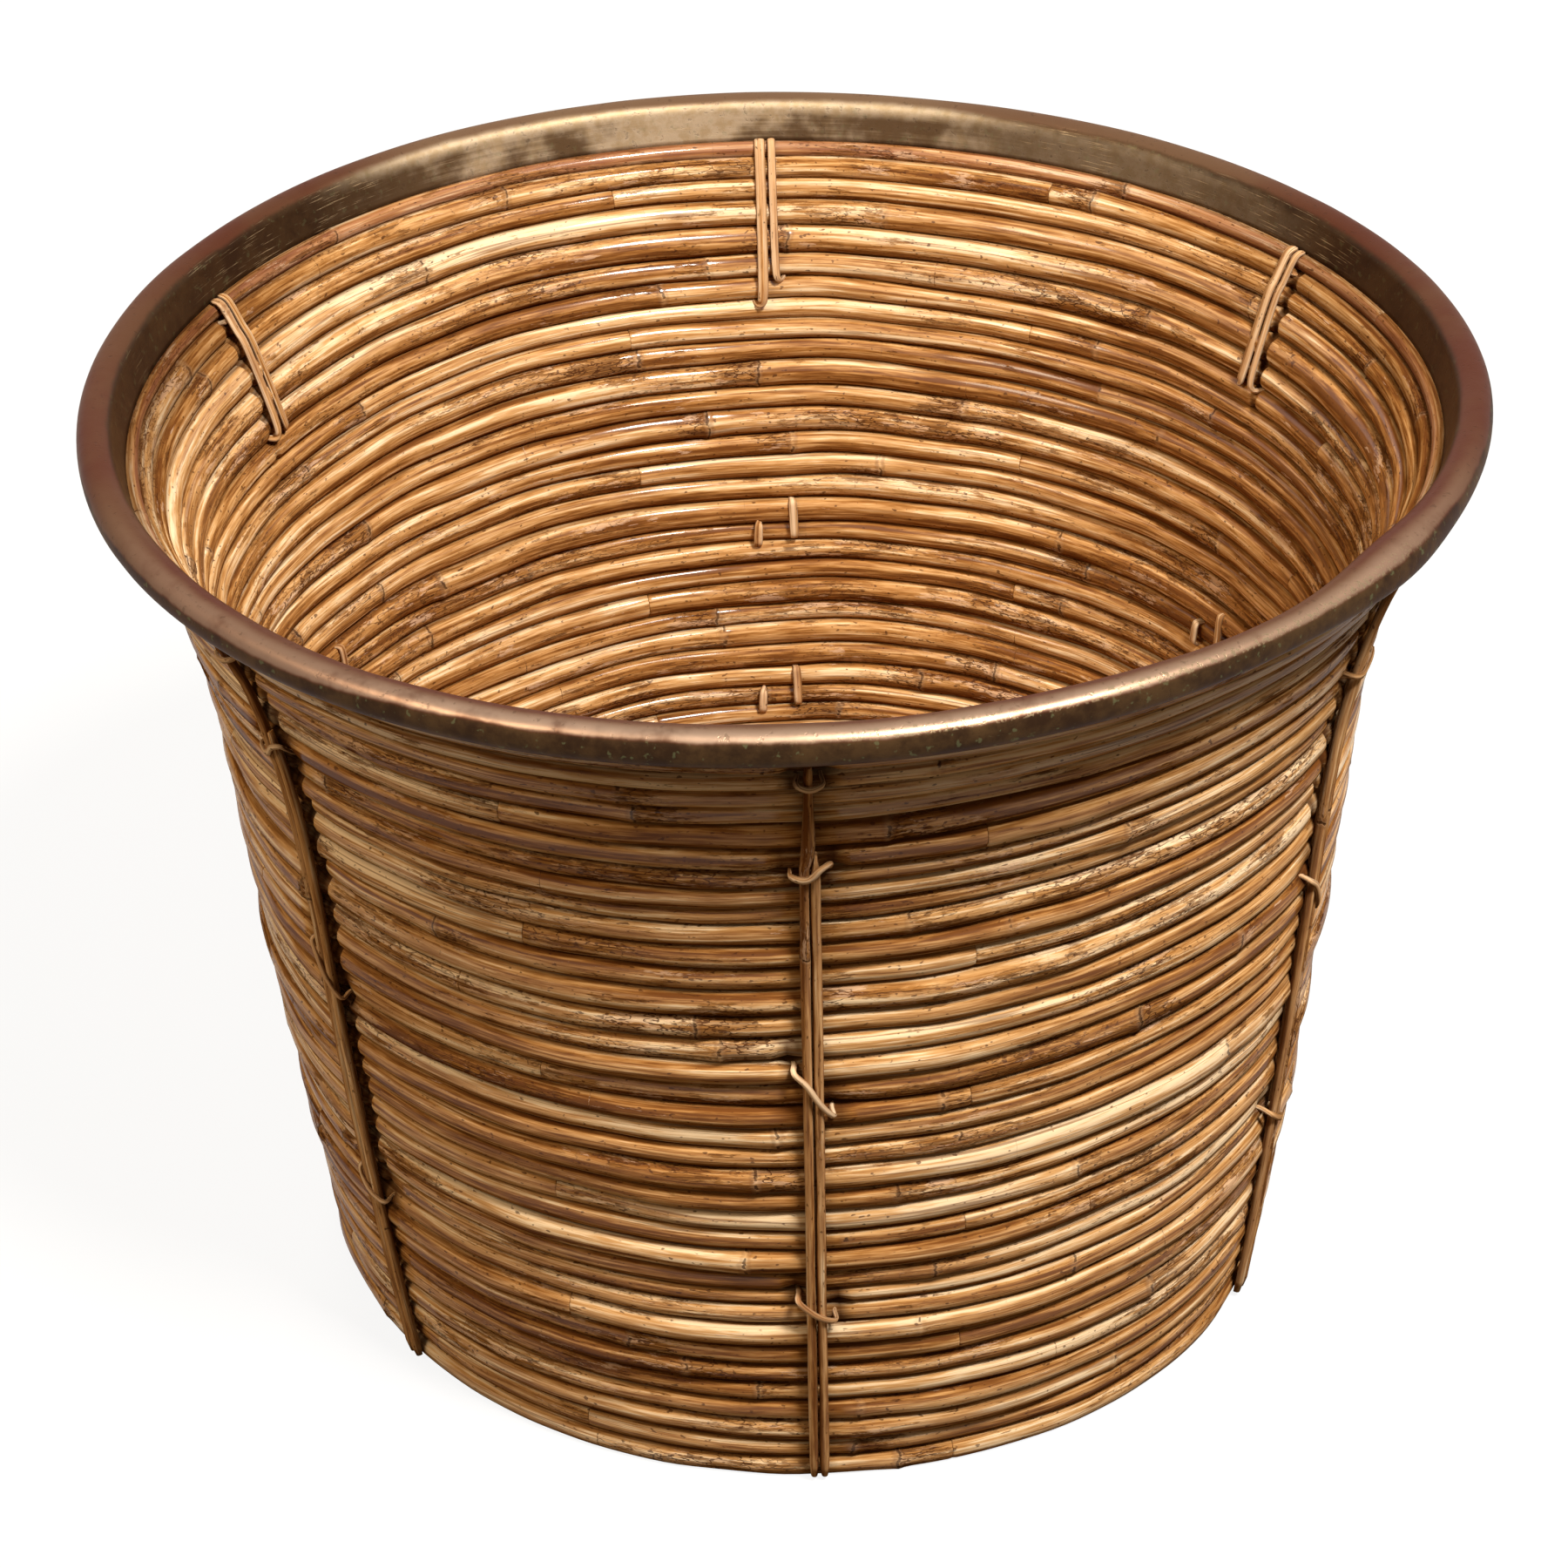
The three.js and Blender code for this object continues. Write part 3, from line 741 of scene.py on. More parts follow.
def node_places(rng, length, shortest, longest):
    """Distances of a cane's nodes from its start."""
    places = []
    reach = rng.uniform(0.2, 1) * longest
    while reach < length:
        places.append(reach)
        reach += rng.uniform(shortest, longest)
    return places


def ring_places(length, nodes, step, extra=()):
    """Distances of a cane's rings: even, with more at its ends, its nodes and the extra places."""
    places = {value * MM for value in END_RINGS} | {length - value * MM for value in END_RINGS}
    for node in nodes:
        places |= {node + value * MM for value in NODE_RINGS}
    for value in extra:
        if min(abs(value - other) for other in places) > LEAST_RING_GAP:
            places.add(value)
    places = sorted(value for value in places if 0 <= value <= length)
    count = int(length / step)
    for index in range(1, count):
        value = length * index / count
        if min(abs(value - other) for other in places) > step * LEAST_STEP_SHARE:
            places.append(value)
    return sorted(places)


def node_swell(distance):
    """Share by which a cane is thicker this far past a node."""
    reach = SWELL_BEFORE if distance < 0 else SWELL_AFTER
    return hump(distance / reach) + RIDGE_SHARE * hump(distance / RIDGE_REACH)


class Marks:
    """Nodes and tones along one cane."""

    def __init__(self, rng, length, tone, spread, shortest=130 * MM, longest=380 * MM):
        self.nodes = node_places(rng, length, shortest, longest)
        self.tones = [tone + spread * rng.uniform(-1, 1) for _ in range(len(self.nodes) + 1)]
        self.swells = [rng.uniform(LEAST_NODE_SWELL, NODE_SWELL) for _ in self.nodes]
        self.offset = Vector((rng.uniform(0, 40), rng.uniform(0, 4), rng.uniform(0, 4)))

    def at(self, place, painted_shade):
        """Distance to the nearest node, tone, painted shade (polish below nothing) and the node's strength.
        """
        near = min(range(len(self.nodes)), key=lambda k: abs(place - self.nodes[k]), default=None)
        if near is None:
            return Vector((FAR_FROM_NODE, self.tones[0], painted_shade, 0.0))
        tone = self.tones[sum(place > node for node in self.nodes)]
        return Vector((place - self.nodes[near], tone, painted_shade, clamp(self.swells[near] / NODE_SWELL)))

    def swell(self, place):
        return sum(size * node_swell(place - node) for node, size in zip(self.nodes, self.swells))


def squeeze_places(rng, index, stakes, radius):
    """Angle, face and depth of each hollow where a cane is squeezed beside a pair of stakes."""
    squeezes = []
    for pair, (side, face, lowest) in SQUEEZES.items():
        depth = SQUEEZE_DEPTH * ease((index - lowest + 1) / SQUEEZE_FADE) * rng.uniform(0.6, 1.2)
        if depth and index < WALL_CANES - 1:
            middle = stakes[pair] + side * rng.uniform(0.9, 1.1) * SQUEEZE_PLACE / radius
            squeezes.append((middle, face, depth))
    return squeezes


def wall_cane(index, wall, seams, sizes, material):
    rng = random.Random(f"cane {sizes.seed} {index}")
    radius = wall.rows[index][0]
    length = 2 * pi * radius - SEEN_JOINT_GAP
    start = joint_angle(index) + SEEN_JOINT_GAP / 2 / radius
    marks = Marks(rng, length, 0.5, 0.16)
    set_back = rng.uniform(-0.5, 0.5) * sizes.wander
    phase = rng.uniform(0, 50)
    nominal = wall.cane_radius(index)
    stakes = [stake_angle(pair) for pair in range(len(STAKE_TURNS))]
    legs = [(stakes[pair], seam, across) for pair in range(len(stakes))
            for seam, across in leg_places(sizes, pair) if abs(seam - index) < 1]
    squeezes = squeeze_places(rng, index, stakes, radius)
    close = [((middle - start) % (2 * pi)) * radius + step * MM
             for middle, _, _ in squeezes for step in SQUEEZE_RINGS]
    rings = ring_places(length, marks.nodes, CANE_STEP, close)

    def ring_at(place):
        """Centre, size and hollows of the cane at a place along it."""
        angle = start + place / radius
        low, high = seams.at(index, angle)
        half = (high - low) / 2 * wall.pitch(index)
        # Pockets and dents in its lower and upper side, notches inside and outside
        pockets, dents, notches = [0.0, 0.0], [0.0, 0.0], [0.0, 0.0]
        for stake, seam, across in legs:
            gap = angle_between(angle, stake) * radius - across
            pockets[seam > index] += POCKET_DEPTH * hump(gap / POCKET_REACH)
            aside = gap - math.copysign(DENT_OFFSET, across)
            dents[seam > index] += DENT_DEPTH * hump(aside / DENT_REACH)
        for notch, face, depth in squeezes:
            gap = abs(angle_between(angle, notch)) * radius
            notches[face > 0] += depth * ease((SQUEEZE_REACH - gap) / SQUEEZE_EDGE)
        end = 1 - 0.04 * hump(min(place, length - place) / (0.5 * MM))
        swell = (1 + marks.swell(place)) * end
        around = polar(angle, 1)
        stray = noise.noise(around * 2.2 + Vector((0, 0, phase))) + 0.5 * noise.noise(
            around * 7 + Vector((0, 0, phase + 9)))
        # Nearness to a stake, for the painted shade beside it
        stake_near = min(abs(angle_between(angle, stake)) * radius for stake in stakes)
        return SimpleNamespace(
            place=place, angle=angle, middle=(low + high) / 2, out=sizes.wander * stray + set_back,
            tall=half * swell + CANE_OVERLAP, wide=lerp(nominal, half, 0.85) * swell,
            pockets=pockets, dents=dents, notches=notches, beside=hump(stake_near / STAKE_SHADE_REACH))

    table = [ring_at(place) for place in rings]

    def spot(ring, turn):
        here = table[ring]
        facing, rising = cos(turn), sin(turn)
        r, z, tilt = wall.at(here.middle)
        cut = here.pockets[turn > 0] * ease((facing + 0.35) / 0.6)
        cut += here.dents[turn > 0] * ease(facing / 0.4)
        cut += here.notches[1] * ease(facing / 0.5) + here.notches[0] * ease(-facing / 0.5)
        bulge = facing ** CANE_FLATNESS if facing > 0 else facing
        out = here.out + (here.wide - 0.6 * cut) * bulge
        up = (here.tall - cut) * rising
        r += out * cos(tilt) + up * sin(tilt)
        z = max(z - out * sin(tilt) + up * cos(tilt), 0.0)
        return polar(here.angle, r, z) + roundness(here.angle, z)

    def mark(ring, turn):
        here = table[ring]
        facing, rising = cos(turn), sin(turn)
        across = Vector((here.place, nominal * facing, nominal * rising))
        outside = max(facing, 0.0)
        # Painted shade: at the seams and on the lower side, beside the stakes, in dents and squeezed
        # hollows, and inside at the sides of the mouth
        amount, power = OUTSIDE_SEAM_SHADE if outside else INSIDE_SEAM_SHADE
        painted_shade = amount * abs(rising) ** (power if rising < 0 else UPPER_SHADE_POWER)
        dent = max(here.dents) / DENT_DEPTH
        notch = max(here.notches[facing > 0] - UNSHADED_NOTCH, 0.0) / SQUEEZE_DEPTH
        painted_shade += (STAKE_SHADE * here.beside + DENT_SHADE * dent) * outside + NOTCH_SHADE * notch
        if not outside:
            painted_shade += MOUTH_SIDE_SHADE * ease((index - MOUTH_SIDE_SHADE_CANE) / 2) * cos(here.angle) ** 4
        # Below nothing it stands for polish, on the canes' upper side and most of it inside
        polish = max(-facing, 0.5 * facing) * ease(2 * rising + 0.5)
        painted_shade = clamp(painted_shade) - ease(1 - 4 * painted_shade) * polish
        marked = marks.at(here.place, painted_shade)
        # Painted light: paler canes towards the mouth
        first, painted_light = OUTSIDE_PAINTED_LIGHT if outside else INSIDE_PAINTED_LIGHT
        marked.y += painted_light * ease((index - first) / 4)
        # Painted shade: darker canes inside at the right
        if not outside:
            marked.y -= SIDE_SHADE * max(cos(here.angle), 0.0) ** 3
        return across + marks.offset, marked

    piece = tube(f"cane_hoop_{index + 1:02d}", CANE_SIDES, len(rings), spot, mark)
    top = index >= WALL_CANES - TOP_CANES
    fit(piece, material, "top_cane" if top else "cane", f"wall_cane_{index + 1:02d}")


def spread_path(points, step):
    """A smooth run through control points, each a tuple of numbers, spaced by their first three."""
    run = []
    ends = [points[0]] + list(points) + [points[-1]]
    for a, b, c, d in zip(ends, ends[1:], ends[2:], ends[3:]):
        length = math.dist(b[:3], c[:3])
        count = max(2, int(length / step))
        for k in range(count):
            t = k / count
            run.append(tuple(
                0.5 * (2 * q + (r - p) * t + (2 * p - 5 * q + 4 * r - s) * t * t
                       + (3 * q - p - 3 * r + s) * t ** 3)
                for p, q, r, s in zip(a, b, c, d)))
    run.append(tuple(points[-1]))
    return run


def squared(value, power):
    return math.copysign(abs(value) ** power, value)


def half_round(turn):
    """Outline of split cane: round outside, nearly flat at the back."""
    out = sin(turn)
    return squared(cos(turn), 0.8), out ** 0.85 if out > 0 else 0.12 * out


def flat_oval(turn):
    return squared(cos(turn), 0.6), squared(sin(turn), 0.75)


def add_strip(bm, run, outward, outline, marks, sides, lift):
    """Adds split cane along a run of (x, y, z, width, thickness), flat against the wall."""
    spots = [Vector(point[:3]) for point in run]
    frames = []
    place = 0.0
    side = None
    for index, spot in enumerate(spots):
        before, after = spots[max(index - 1, 0)], spots[min(index + 1, len(spots) - 1)]
        along = (after - before).normalized()
        flat = along.cross(outward)
        share = clamp(flat.length) ** 3
        if side is None:
            side = flat
        elif flat.dot(side) < 0:
            flat = -flat
        side = side.lerp(flat.normalized(), share)
        side = (side - along * side.dot(along)).normalized()
        through = side.cross(along)
        if index:
            place += (spot - spots[index - 1]).length
        frames.append((spot, side, through, place))

    def spot_at(ring, turn):
        spot, side, through, place = frames[ring]
        width, thickness = run[ring][3:5]
        x, y = outline(turn)
        grow = 1 + marks.swell(place)
        end = STRIP_END if ring in (0, len(run) - 1) else 1.0
        return spot + side * (x * width / 2 * grow * end) + through * (y * thickness * lift * grow * end)

    def mark(ring, turn):
        place = frames[ring][3]
        x, y = outline(turn)
        across = Vector((place, run[ring][3] / 2 * x, run[ring][4] * y))
        # Painted shade at the strip's edges
        return across + marks.offset, marks.at(place, 0.8 * abs(x) ** 8)

    add_tube(bm, sides, len(run), spot_at, mark)


def stake(pair, side, long, wall, sizes, material):
    rng = random.Random(f"stake {sizes.seed} {pair} {side}")
    level = sizes.cane_diameter / 2 + STAKE_GAP
    across = (sizes.stake_width + CLEARANCE) / 2
    tie = seam_below(STRIP_TIE) + STAKE_ABOVE_TIE
    top = WALL_CANES - 1 + STAKE_RISE if long else tie + SHORT_STAKE_REACH
    points = []
    phase = rng.uniform(0, 30)
    for k in range(STAKE_STEPS + 1):
        cane = lerp(STAKE_FOOT, top, k / STAKE_STEPS)
        stray = noise.noise(Vector((cane * 0.16, phase, 0))) * 0.35 * MM
        width = sizes.stake_width * (1 + 0.16 * noise.noise(Vector((cane * 0.3, phase, 5))))
        above = ease((cane - tie) / 1.2) if long else 0.0
        place = side * across
        if long:
            place = lerp(place, LONG_STAKE_SHIFT, above)
            taper = ease((cane - tie - 0.5) / 4)
            width = lerp(width, lerp(*LONG_STAKE_TOP, taper), above)
        elif cane > tie:
            width *= lerp(*SHORT_STAKE_TIP, (cane - tie) / SHORT_STAKE_REACH)
        spot = wall.beside(pair, cane, level - 0.6 * MM * ease((cane - tie) / 4), place + stray)
        spot.z = max(spot.z, 0.0)
        thickness = sizes.stake_thickness * (1 + 0.1 * noise.noise(Vector((cane, phase, 9))))
        points.append((*spot, width, thickness))
    outward = wall.outward(pair, WALL_CANES / 2)
    marks = Marks(rng, STAKE_LENGTH, 0.44 if long else 0.54, 0.08, 90 * MM, 220 * MM)
    bm = bmesh.new()
    add_strip(bm, points, outward, half_round, marks, sides=14, lift=1.0)
    word = "long" if long else "short"
    piece = finished(bm, f"split_stake_{pair + 1}_{word}")
    fit(piece, material, "split_cane", f"stake_{pair + 1}_{word}")


def lashing(pair, wall, sizes, material):
    rng = random.Random(f"lashing {sizes.seed} {pair}")
    face = sizes.cane_diameter / 2
    inside = -(face + 1.3 * MM)
    over = face + STAKE_GAP + sizes.stake_thickness + sizes.tie_thickness / 2
    thick = sizes.tie_thickness
    bm = bmesh.new()

    def run(controls):
        """Lays split cane through (cane, out, across, width)."""
        points = [(*wall.beside(pair, cane, out, across), width, thick)
                  for cane, out, across, width in controls]
        outward = wall.outward(pair, controls[len(controls) // 2][0])
        marks = Marks(rng, LASHING_LENGTH, 0.72, 0.1, 200 * MM, 400 * MM)
        add_strip(bm, spread_path(points, TIE_STEP), outward, flat_oval, marks, sides=8, lift=0.5)

    wide = sizes.tie_width
    reach = sizes.stake_width + TIE_REACH
    # Top tie, round the single stake
    seam = seam_below(TOP_TIE)
    near = sizes.stake_width / 2 + TOP_TIE_REACH

    def top_leg(side):
        return [(seam, inside + 2 * MM, side * near, wide), (seam, face * 0.4, side * near, wide),
                (seam + 0.2, over - 2 * MM, side * (near + 0.5 * MM), wide),
                (seam + 0.2, over - 0.6 * MM, side * 1.7 * MM, wide * 1.2)]

    run(top_leg(-1) + [(seam + 0.14, over - 0.4 * MM, 0, wide * 1.3)] + top_leg(1)[::-1])
    # Strips inside the mouth and the tie that joins them over the stakes
    seam = seam_below(STRIP_TIE)
    top = WALL_CANES - 1
    strip = sizes.strip_width
    upper = strip / 2 + 0.1 * MM
    hug = sizes.top_cane_diameter / 2 + thick / 2

    def inner(side):
        level = inside + 0.3 * MM
        seam = strip_seam(pair, side)
        foot = seam - 0.5
        width = strip * (0.95 if side > 0 else 0.72)
        return [(top + 0.58, -1.1 * MM, side * upper, width),
                (top + 0.4, -0.78 * hug, side * upper, width),
                (top, -1.02 * hug, side * upper, width),
                (top - 1, -hug - 0.3 * MM, side * upper, width),
                (seam + 3.5, level + 0.2 * MM, side * upper, width),
                (foot + 1.1, level, side * (upper + 0.2 * MM), width),
                (foot + 0.45, level + 0.7 * MM, side * lerp(reach, upper, 0.6), width * 0.8),
                (seam, -face * 0.3, side * reach, wide), (seam, face * 0.6, side * reach, wide)]

    over_stakes = [(seam + 0.1, over - 1.2 * MM, -reach - 0.2 * MM, wide),
                   (seam + 0.02, over, -2.0 * MM, wide * 1.3),
                   (seam + 0.15, over + 0.1 * MM, 0.4 * MM, wide * 1.3),
                   (seam + 0.5, over - 0.1 * MM, 2.6 * MM, wide * 1.1),
                   (seam + 0.6, over - 1.5 * MM, reach + 0.2 * MM, wide)]
    run(inner(-1) + over_stakes + inner(1)[::-1])
    # Lower ties: a hook over one cane inside at each end
    for (left, right), sag in zip(lower_ties(pair), (-0.1, 0.15)):
        a, b = seam_below(left), seam_below(right)

        def hook(seam, side):
            low = HOOK_DROPS[side > 0]
            return [(seam + low - 0.05, inside + 2.2 * MM, side * (reach + 1.2 * MM), wide * 1.3),
                    (seam + low + 0.15, inside + 0.1 * MM, side * (reach + 1.2 * MM), wide * 1.6),
                    (seam + low / 2, inside - 0.1 * MM, side * (reach + 1.1 * MM), wide * 1.7),
                    (seam - 0.1, inside, side * (reach + 0.9 * MM), wide * 1.6),
                    (seam + 0.04, inside + 0.9 * MM, side * (reach + 0.8 * MM), wide * 1.3),
                    (seam, -face * 0.2, side * (reach + 0.3 * MM), wide),
                    (seam, face * 0.7, side * reach, wide)]

        across = [(a - 0.05, over - 1.5 * MM, -reach - 0.3 * MM, wide),
                  (lerp(a, b, 0.3) - sag, over - 0.1 * MM, -1.8 * MM, wide * 1.1),
                  (lerp(a, b, 0.7) - sag * 0.6, over, 1.8 * MM, wide * 1.1),
                  (b - 0.05, over - 1.5 * MM, reach + 0.4 * MM, wide)]
        run(hook(a, -1) + across + hook(b, 1)[::-1])
    # The run behind the stakes that joins one tie to the next
    lower = seam_below(lower_ties(pair)[-1][0])
    run([(lerp(seam, lower, k / 6), face, 0.0, wide) for k in range(7)])
    piece = finished(bm, f"split_cane_lashing_{pair + 1}")
    fit(piece, material, "split_cane", f"lashing_{pair + 1}")


def bead_growth(angle):
    return sum(growth * hump(angle_between(angle, place) / reach) for place, reach, growth in BEAD_DENTS)


class Rim:
    """Places of the hoops in the rim, and the section of the brass round them."""

    def __init__(self, wall, sizes):
        radius, height, _ = wall.rows[-1]
        reach = wall.cane_radius(WALL_CANES - 1) * math.hypot(cos(pi / 3), 1) + CLEARANCE
        self.room = CLEARANCE + sizes.brass_thickness
        self.core = Vector((radius + CORE_REACH, height + CORE_RISE))
        self.lip = Vector((radius, height)) + reach * Vector((cos(LIP_TURN), sin(LIP_TURN)))
        gap = self.core - self.lip
        inside = math.asin((CORE_DIAMETER / 2 + self.room) / gap.length)
        self.start = math.atan2(gap.y, gap.x) + inside + pi / 2
        self.out = Vector((cos(self.start), sin(self.start)))
        filler = FILLER_DIAMETER / 2
        sideways = CORE_DIAMETER / 2 - filler
        down = math.sqrt((CORE_DIAMETER / 2 + CLEARANCE + filler) ** 2 - sideways ** 2)
        self.filler = self.core + sideways * self.out - down * Vector((self.out.y, -self.out.x))

    def face(self, offset):
        """One face of the sheet, from its edge on the top cane to its end under the bead."""
        down = Vector((-self.out.y, self.out.x))
        edge = self.lip + (offset - self.room) * self.out + LIP_EXTRA * down
        size = CORE_DIAMETER / 2 + offset
        bead = []
        for k in range(BEAD_STEPS + 1):
            turn = lerp(self.start, BEAD_END, k / BEAD_STEPS)
            square = 1 + BEAD_SQUARENESS * cos(4 * (turn - BEAD_CORNER))
            bead.append(self.core + size * square * Vector((cos(turn), sin(turn))))
        return [edge.lerp(bead[0], k / SKIRT_STEPS) for k in range(SKIRT_STEPS)] + bead

    def section(self):
        """Outline of the brass sheet as (radius, height) points, the outer face first."""
        return self.face(self.room) + self.face(CLEARANCE)[::-1]


def brass_rim(wall, sizes, material):
    rim = Rim(wall, sizes)
    outline = rim.section()
    bm = bmesh.new()
    layer = bm.verts.layers.float_vector.new("rim")
    verts = [bm.verts.new((r, 0, z)) for r, z in outline]
    reach = 0.0
    for vert, point, before in zip(verts, outline, outline[:1] + outline):
        reach += math.dist(point, before)
        vert[layer] = (0, reach, 0)
    for a, b in zip(verts, verts[1:] + verts[:1]):
        bm.edges.new((a, b))
    bmesh.ops.spin(bm, geom=bm.verts[:] + bm.edges[:], cent=(0, 0, 0), axis=(0, 0, 1),
                   angle=2 * pi, steps=RIM_STEPS, use_merge=True)
    bmesh.ops.recalc_face_normals(bm, faces=bm.faces)
    rng = random.Random(f"rim {sizes.seed}")
    dents = [(rng.uniform(-pi, pi), rng.uniform(-0.3, 2.6), rng.uniform(0.06, 0.22) * MM,
              rng.uniform(4, 12) * MM) for _ in range(SMALL_DENTS)]
    for vert in bm.verts:
        r, angle, z = math.hypot(vert.co.x, vert.co.y), math.atan2(vert.co.y, vert.co.x), vert.co.z
        around = polar(angle, 1)
        share = clamp((z - rim.lip.y) / RIM_EASE)
        push = 0.35 * MM * share * noise.noise(around * 3.1)
        rise = 0.3 * MM * share * noise.noise(around * 2.3 + Vector((0, 0, 8)))
        rise += 0.12 * MM * share * noise.noise(around * 9 + Vector((0, 0, z * 60)))
        turn = math.atan2(z - rim.core.y, r - rim.core.x)
        turn += 2 * pi if turn < BEAD_END - 0.1 else 0
        growth = share * bead_growth(angle)
        push += growth * cos(turn)
        rise += growth * sin(turn)
        for place, where, depth, size in dents:
            gap = angle_between(angle, place) * r
            if abs(gap) < 2.5 * size:
                deep = depth * hump(gap / size) * hump(angle_between(turn, where) / 0.5)
                push -= deep * cos(turn)
                rise -= deep * sin(turn)
        vert[layer] = (angle * rim.core.x, vert[layer].y, turn)
        vert.co = polar(angle, r + push, z + rise) + roundness(angle, z)
    piece = finished(bm, "rolled_brass_rim")
    fit(piece, material, "brass", "brass_rim")
    return rim


def hidden_hoop(word, centre, size, sizes, material, index, bends=False):
    """A cane hoop in the rim. One that bends thins and swells with the bead."""
    rng = random.Random(f"hoop {sizes.seed} {index}")
    radius, height = centre
    length = 2 * pi * radius - JOINT_GAP
    start = joint_angle(index) + JOINT_GAP / 2 / radius
    marks = Marks(rng, length, 0.6, 0.1)
    rings = ring_places(length, [], 3 * CANE_STEP)

    def spot(ring, turn):
        angle = start + rings[ring] / radius
        thick = size + (bead_growth(angle) if bends else 0)
        r = radius + thick * cos(turn)
        z = height + thick * sin(turn)
        return polar(angle, r, z) + roundness(angle, z)

    def mark(ring, turn):
        across = Vector((rings[ring], size * cos(turn), size * sin(turn)))
        return across + marks.offset, Vector((FAR_FROM_NODE, 0.6, 0.0, 0.0))

    piece = tube(f"{word}_hoop", 8, len(rings), spot, mark)
    fit(piece, material, "core_cane", f"{word}_cane")


def floor_coil(wall, sizes, material):
    rng = random.Random(f"floor {sizes.seed}")
    cane = sizes.floor_cane_diameter
    pitch = cane + FLOOR_CANE_GAP
    half_step = WIDEST_PAIR_ANGLE / (HOOP_STEPS // len(STAKE_TURNS)) / 2
    outer = (wall.rows[0][0] - wall.cane_radius(0)) * cos(half_step) - CLEARANCE - cane / 2
    turns = math.floor((outer - FLOOR_EYE_RADIUS) / pitch)
    shortest = FLOOR_SLIDE_STEPS / FLOOR_STEPS
    path = []
    place = 0.0
    for k in range(turns * FLOOR_RINGS + 1):
        t = k / FLOOR_RINGS
        whole = min(math.floor(t + 1e-6), turns)
        slide = shortest + (1 - shortest) * min(whole / (turns - 1), 1)
        drawn = whole + max(0.0, (t - whole - 1 + slide) / slide)
        angle = FRONT + 2 * pi * t
        radius = outer - pitch * drawn
        spot = polar(angle, radius, cane / 2)
        if path:
            place += (spot - path[-1][0]).length
        path.append((spot, angle, place))
    marks = Marks(rng, place, 0.5, 0.2, 180 * MM, 420 * MM)

    def spot(ring, turn):
        centre, angle, place = path[ring]
        size = cane / 2 * (1 + marks.swell(place)) * (0.85 if ring in (0, len(path) - 1) else 1)
        out = size * cos(turn) * 1.02
        up = size * sin(turn)
        return Vector((centre.x + out * cos(angle), centre.y + out * sin(angle),
                       max(centre.z + up, 0.0)))

    def mark(ring, turn):
        place = path[ring][2]
        across = Vector((place, cane / 2 * cos(turn), cane / 2 * sin(turn)))
        # Painted shade on the sides where the coil meets its next turn
        return across + marks.offset, marks.at(place, 0.75 * abs(cos(turn)) ** 6)

    piece = tube("cane_floor_coil", 12, len(path), spot, mark)
    fit(piece, material, "floor_cane", "floor_coil")


# Operators


def settings(context):
    return context.scene.basket_sizes, context.scene.basket_colours


class BASKET_OT_wall(bpy.types.Operator):
    """Builds the wall's cane hoops."""

    bl_idname = "basket.wall"
    bl_label = "Wall Canes"

    def execute(self, context):
        sizes, colours = settings(context)
        wall, seams = Wall(sizes), Seams(sizes)
        plain = rattan("wall_cane", colours)
        red = rattan("reddish_wall_cane", colours, reddish_inside=wall.rows[-1][0])
        for index in range(WALL_CANES):
            wall_cane(index, wall, seams, sizes, red if index == WALL_CANES - 1 else plain)
        return {"FINISHED"}


class BASKET_OT_stakes(bpy.types.Operator):
    """Builds the pairs of split-cane stakes."""

    bl_idname = "basket.stakes"
    bl_label = "Stakes"

    def execute(self, context):
        sizes, colours = settings(context)
        wall = Wall(sizes)
        material = rattan("split_cane_stake", colours, skin=-0.05, bleached=0.2)
        for pair in range(len(STAKE_TURNS)):
            stake(pair, -1, True, wall, sizes, material)
            stake(pair, 1, False, wall, sizes, material)
        return {"FINISHED"}


class BASKET_OT_lashings(bpy.types.Operator):
    """Builds the strips, ties and hooks of split cane."""

    bl_idname = "basket.lashings"
    bl_label = "Lashings"

    def execute(self, context):
        sizes, colours = settings(context)
        wall = Wall(sizes)
        material = rattan("split_cane_tie", colours, skin=-0.08, bleached=0.5)
        for pair in range(len(STAKE_TURNS)):
            lashing(pair, wall, sizes, material)
        return {"FINISHED"}


class BASKET_OT_rim(bpy.types.Operator):
    """Builds the brass rim and the two hoops in it."""

    bl_idname = "basket.rim"
    bl_label = "Brass Rim"

    def execute(self, context):
        sizes, colours = settings(context)
        rim = brass_rim(Wall(sizes), sizes, aged_brass(colours))
        bare = rattan("bare_cane", colours, shift=0.1, gloss=0.55)
        hidden_hoop("rim_filler", rim.filler, FILLER_DIAMETER / 2, sizes, bare, 1)
        hidden_hoop("rim_core", rim.core, CORE_DIAMETER / 2, sizes, bare, 2, bends=True)
        return {"FINISHED"}


class BASKET_OT_floor(bpy.types.Operator):
    """Builds the coiled floor of the basket."""

    bl_idname = "basket.floor"
    bl_label = "Floor Coil"

    def execute(self, context):
        sizes, colours = settings(context)
        floor_coil(Wall(sizes), sizes, rattan("floor_cane", colours))
        return {"FINISHED"}


# The photograph's camera: its direction, its distance from a point on the axis, and its frame
CAMERA_PITCH = 0.578
CAMERA_TURN = radians(-1.3)
CAMERA_ROLL = radians(-1.29)
CAMERA_DISTANCE = 1.287
CAMERA_TARGET = Vector((0, 0, 0.1496))
CAMERA_LENS = 95.2
CAMERA_SENSOR = 36
CAMERA_SHIFT = (-0.0053, -0.0024)
CAMERA_NEAR = 0.05

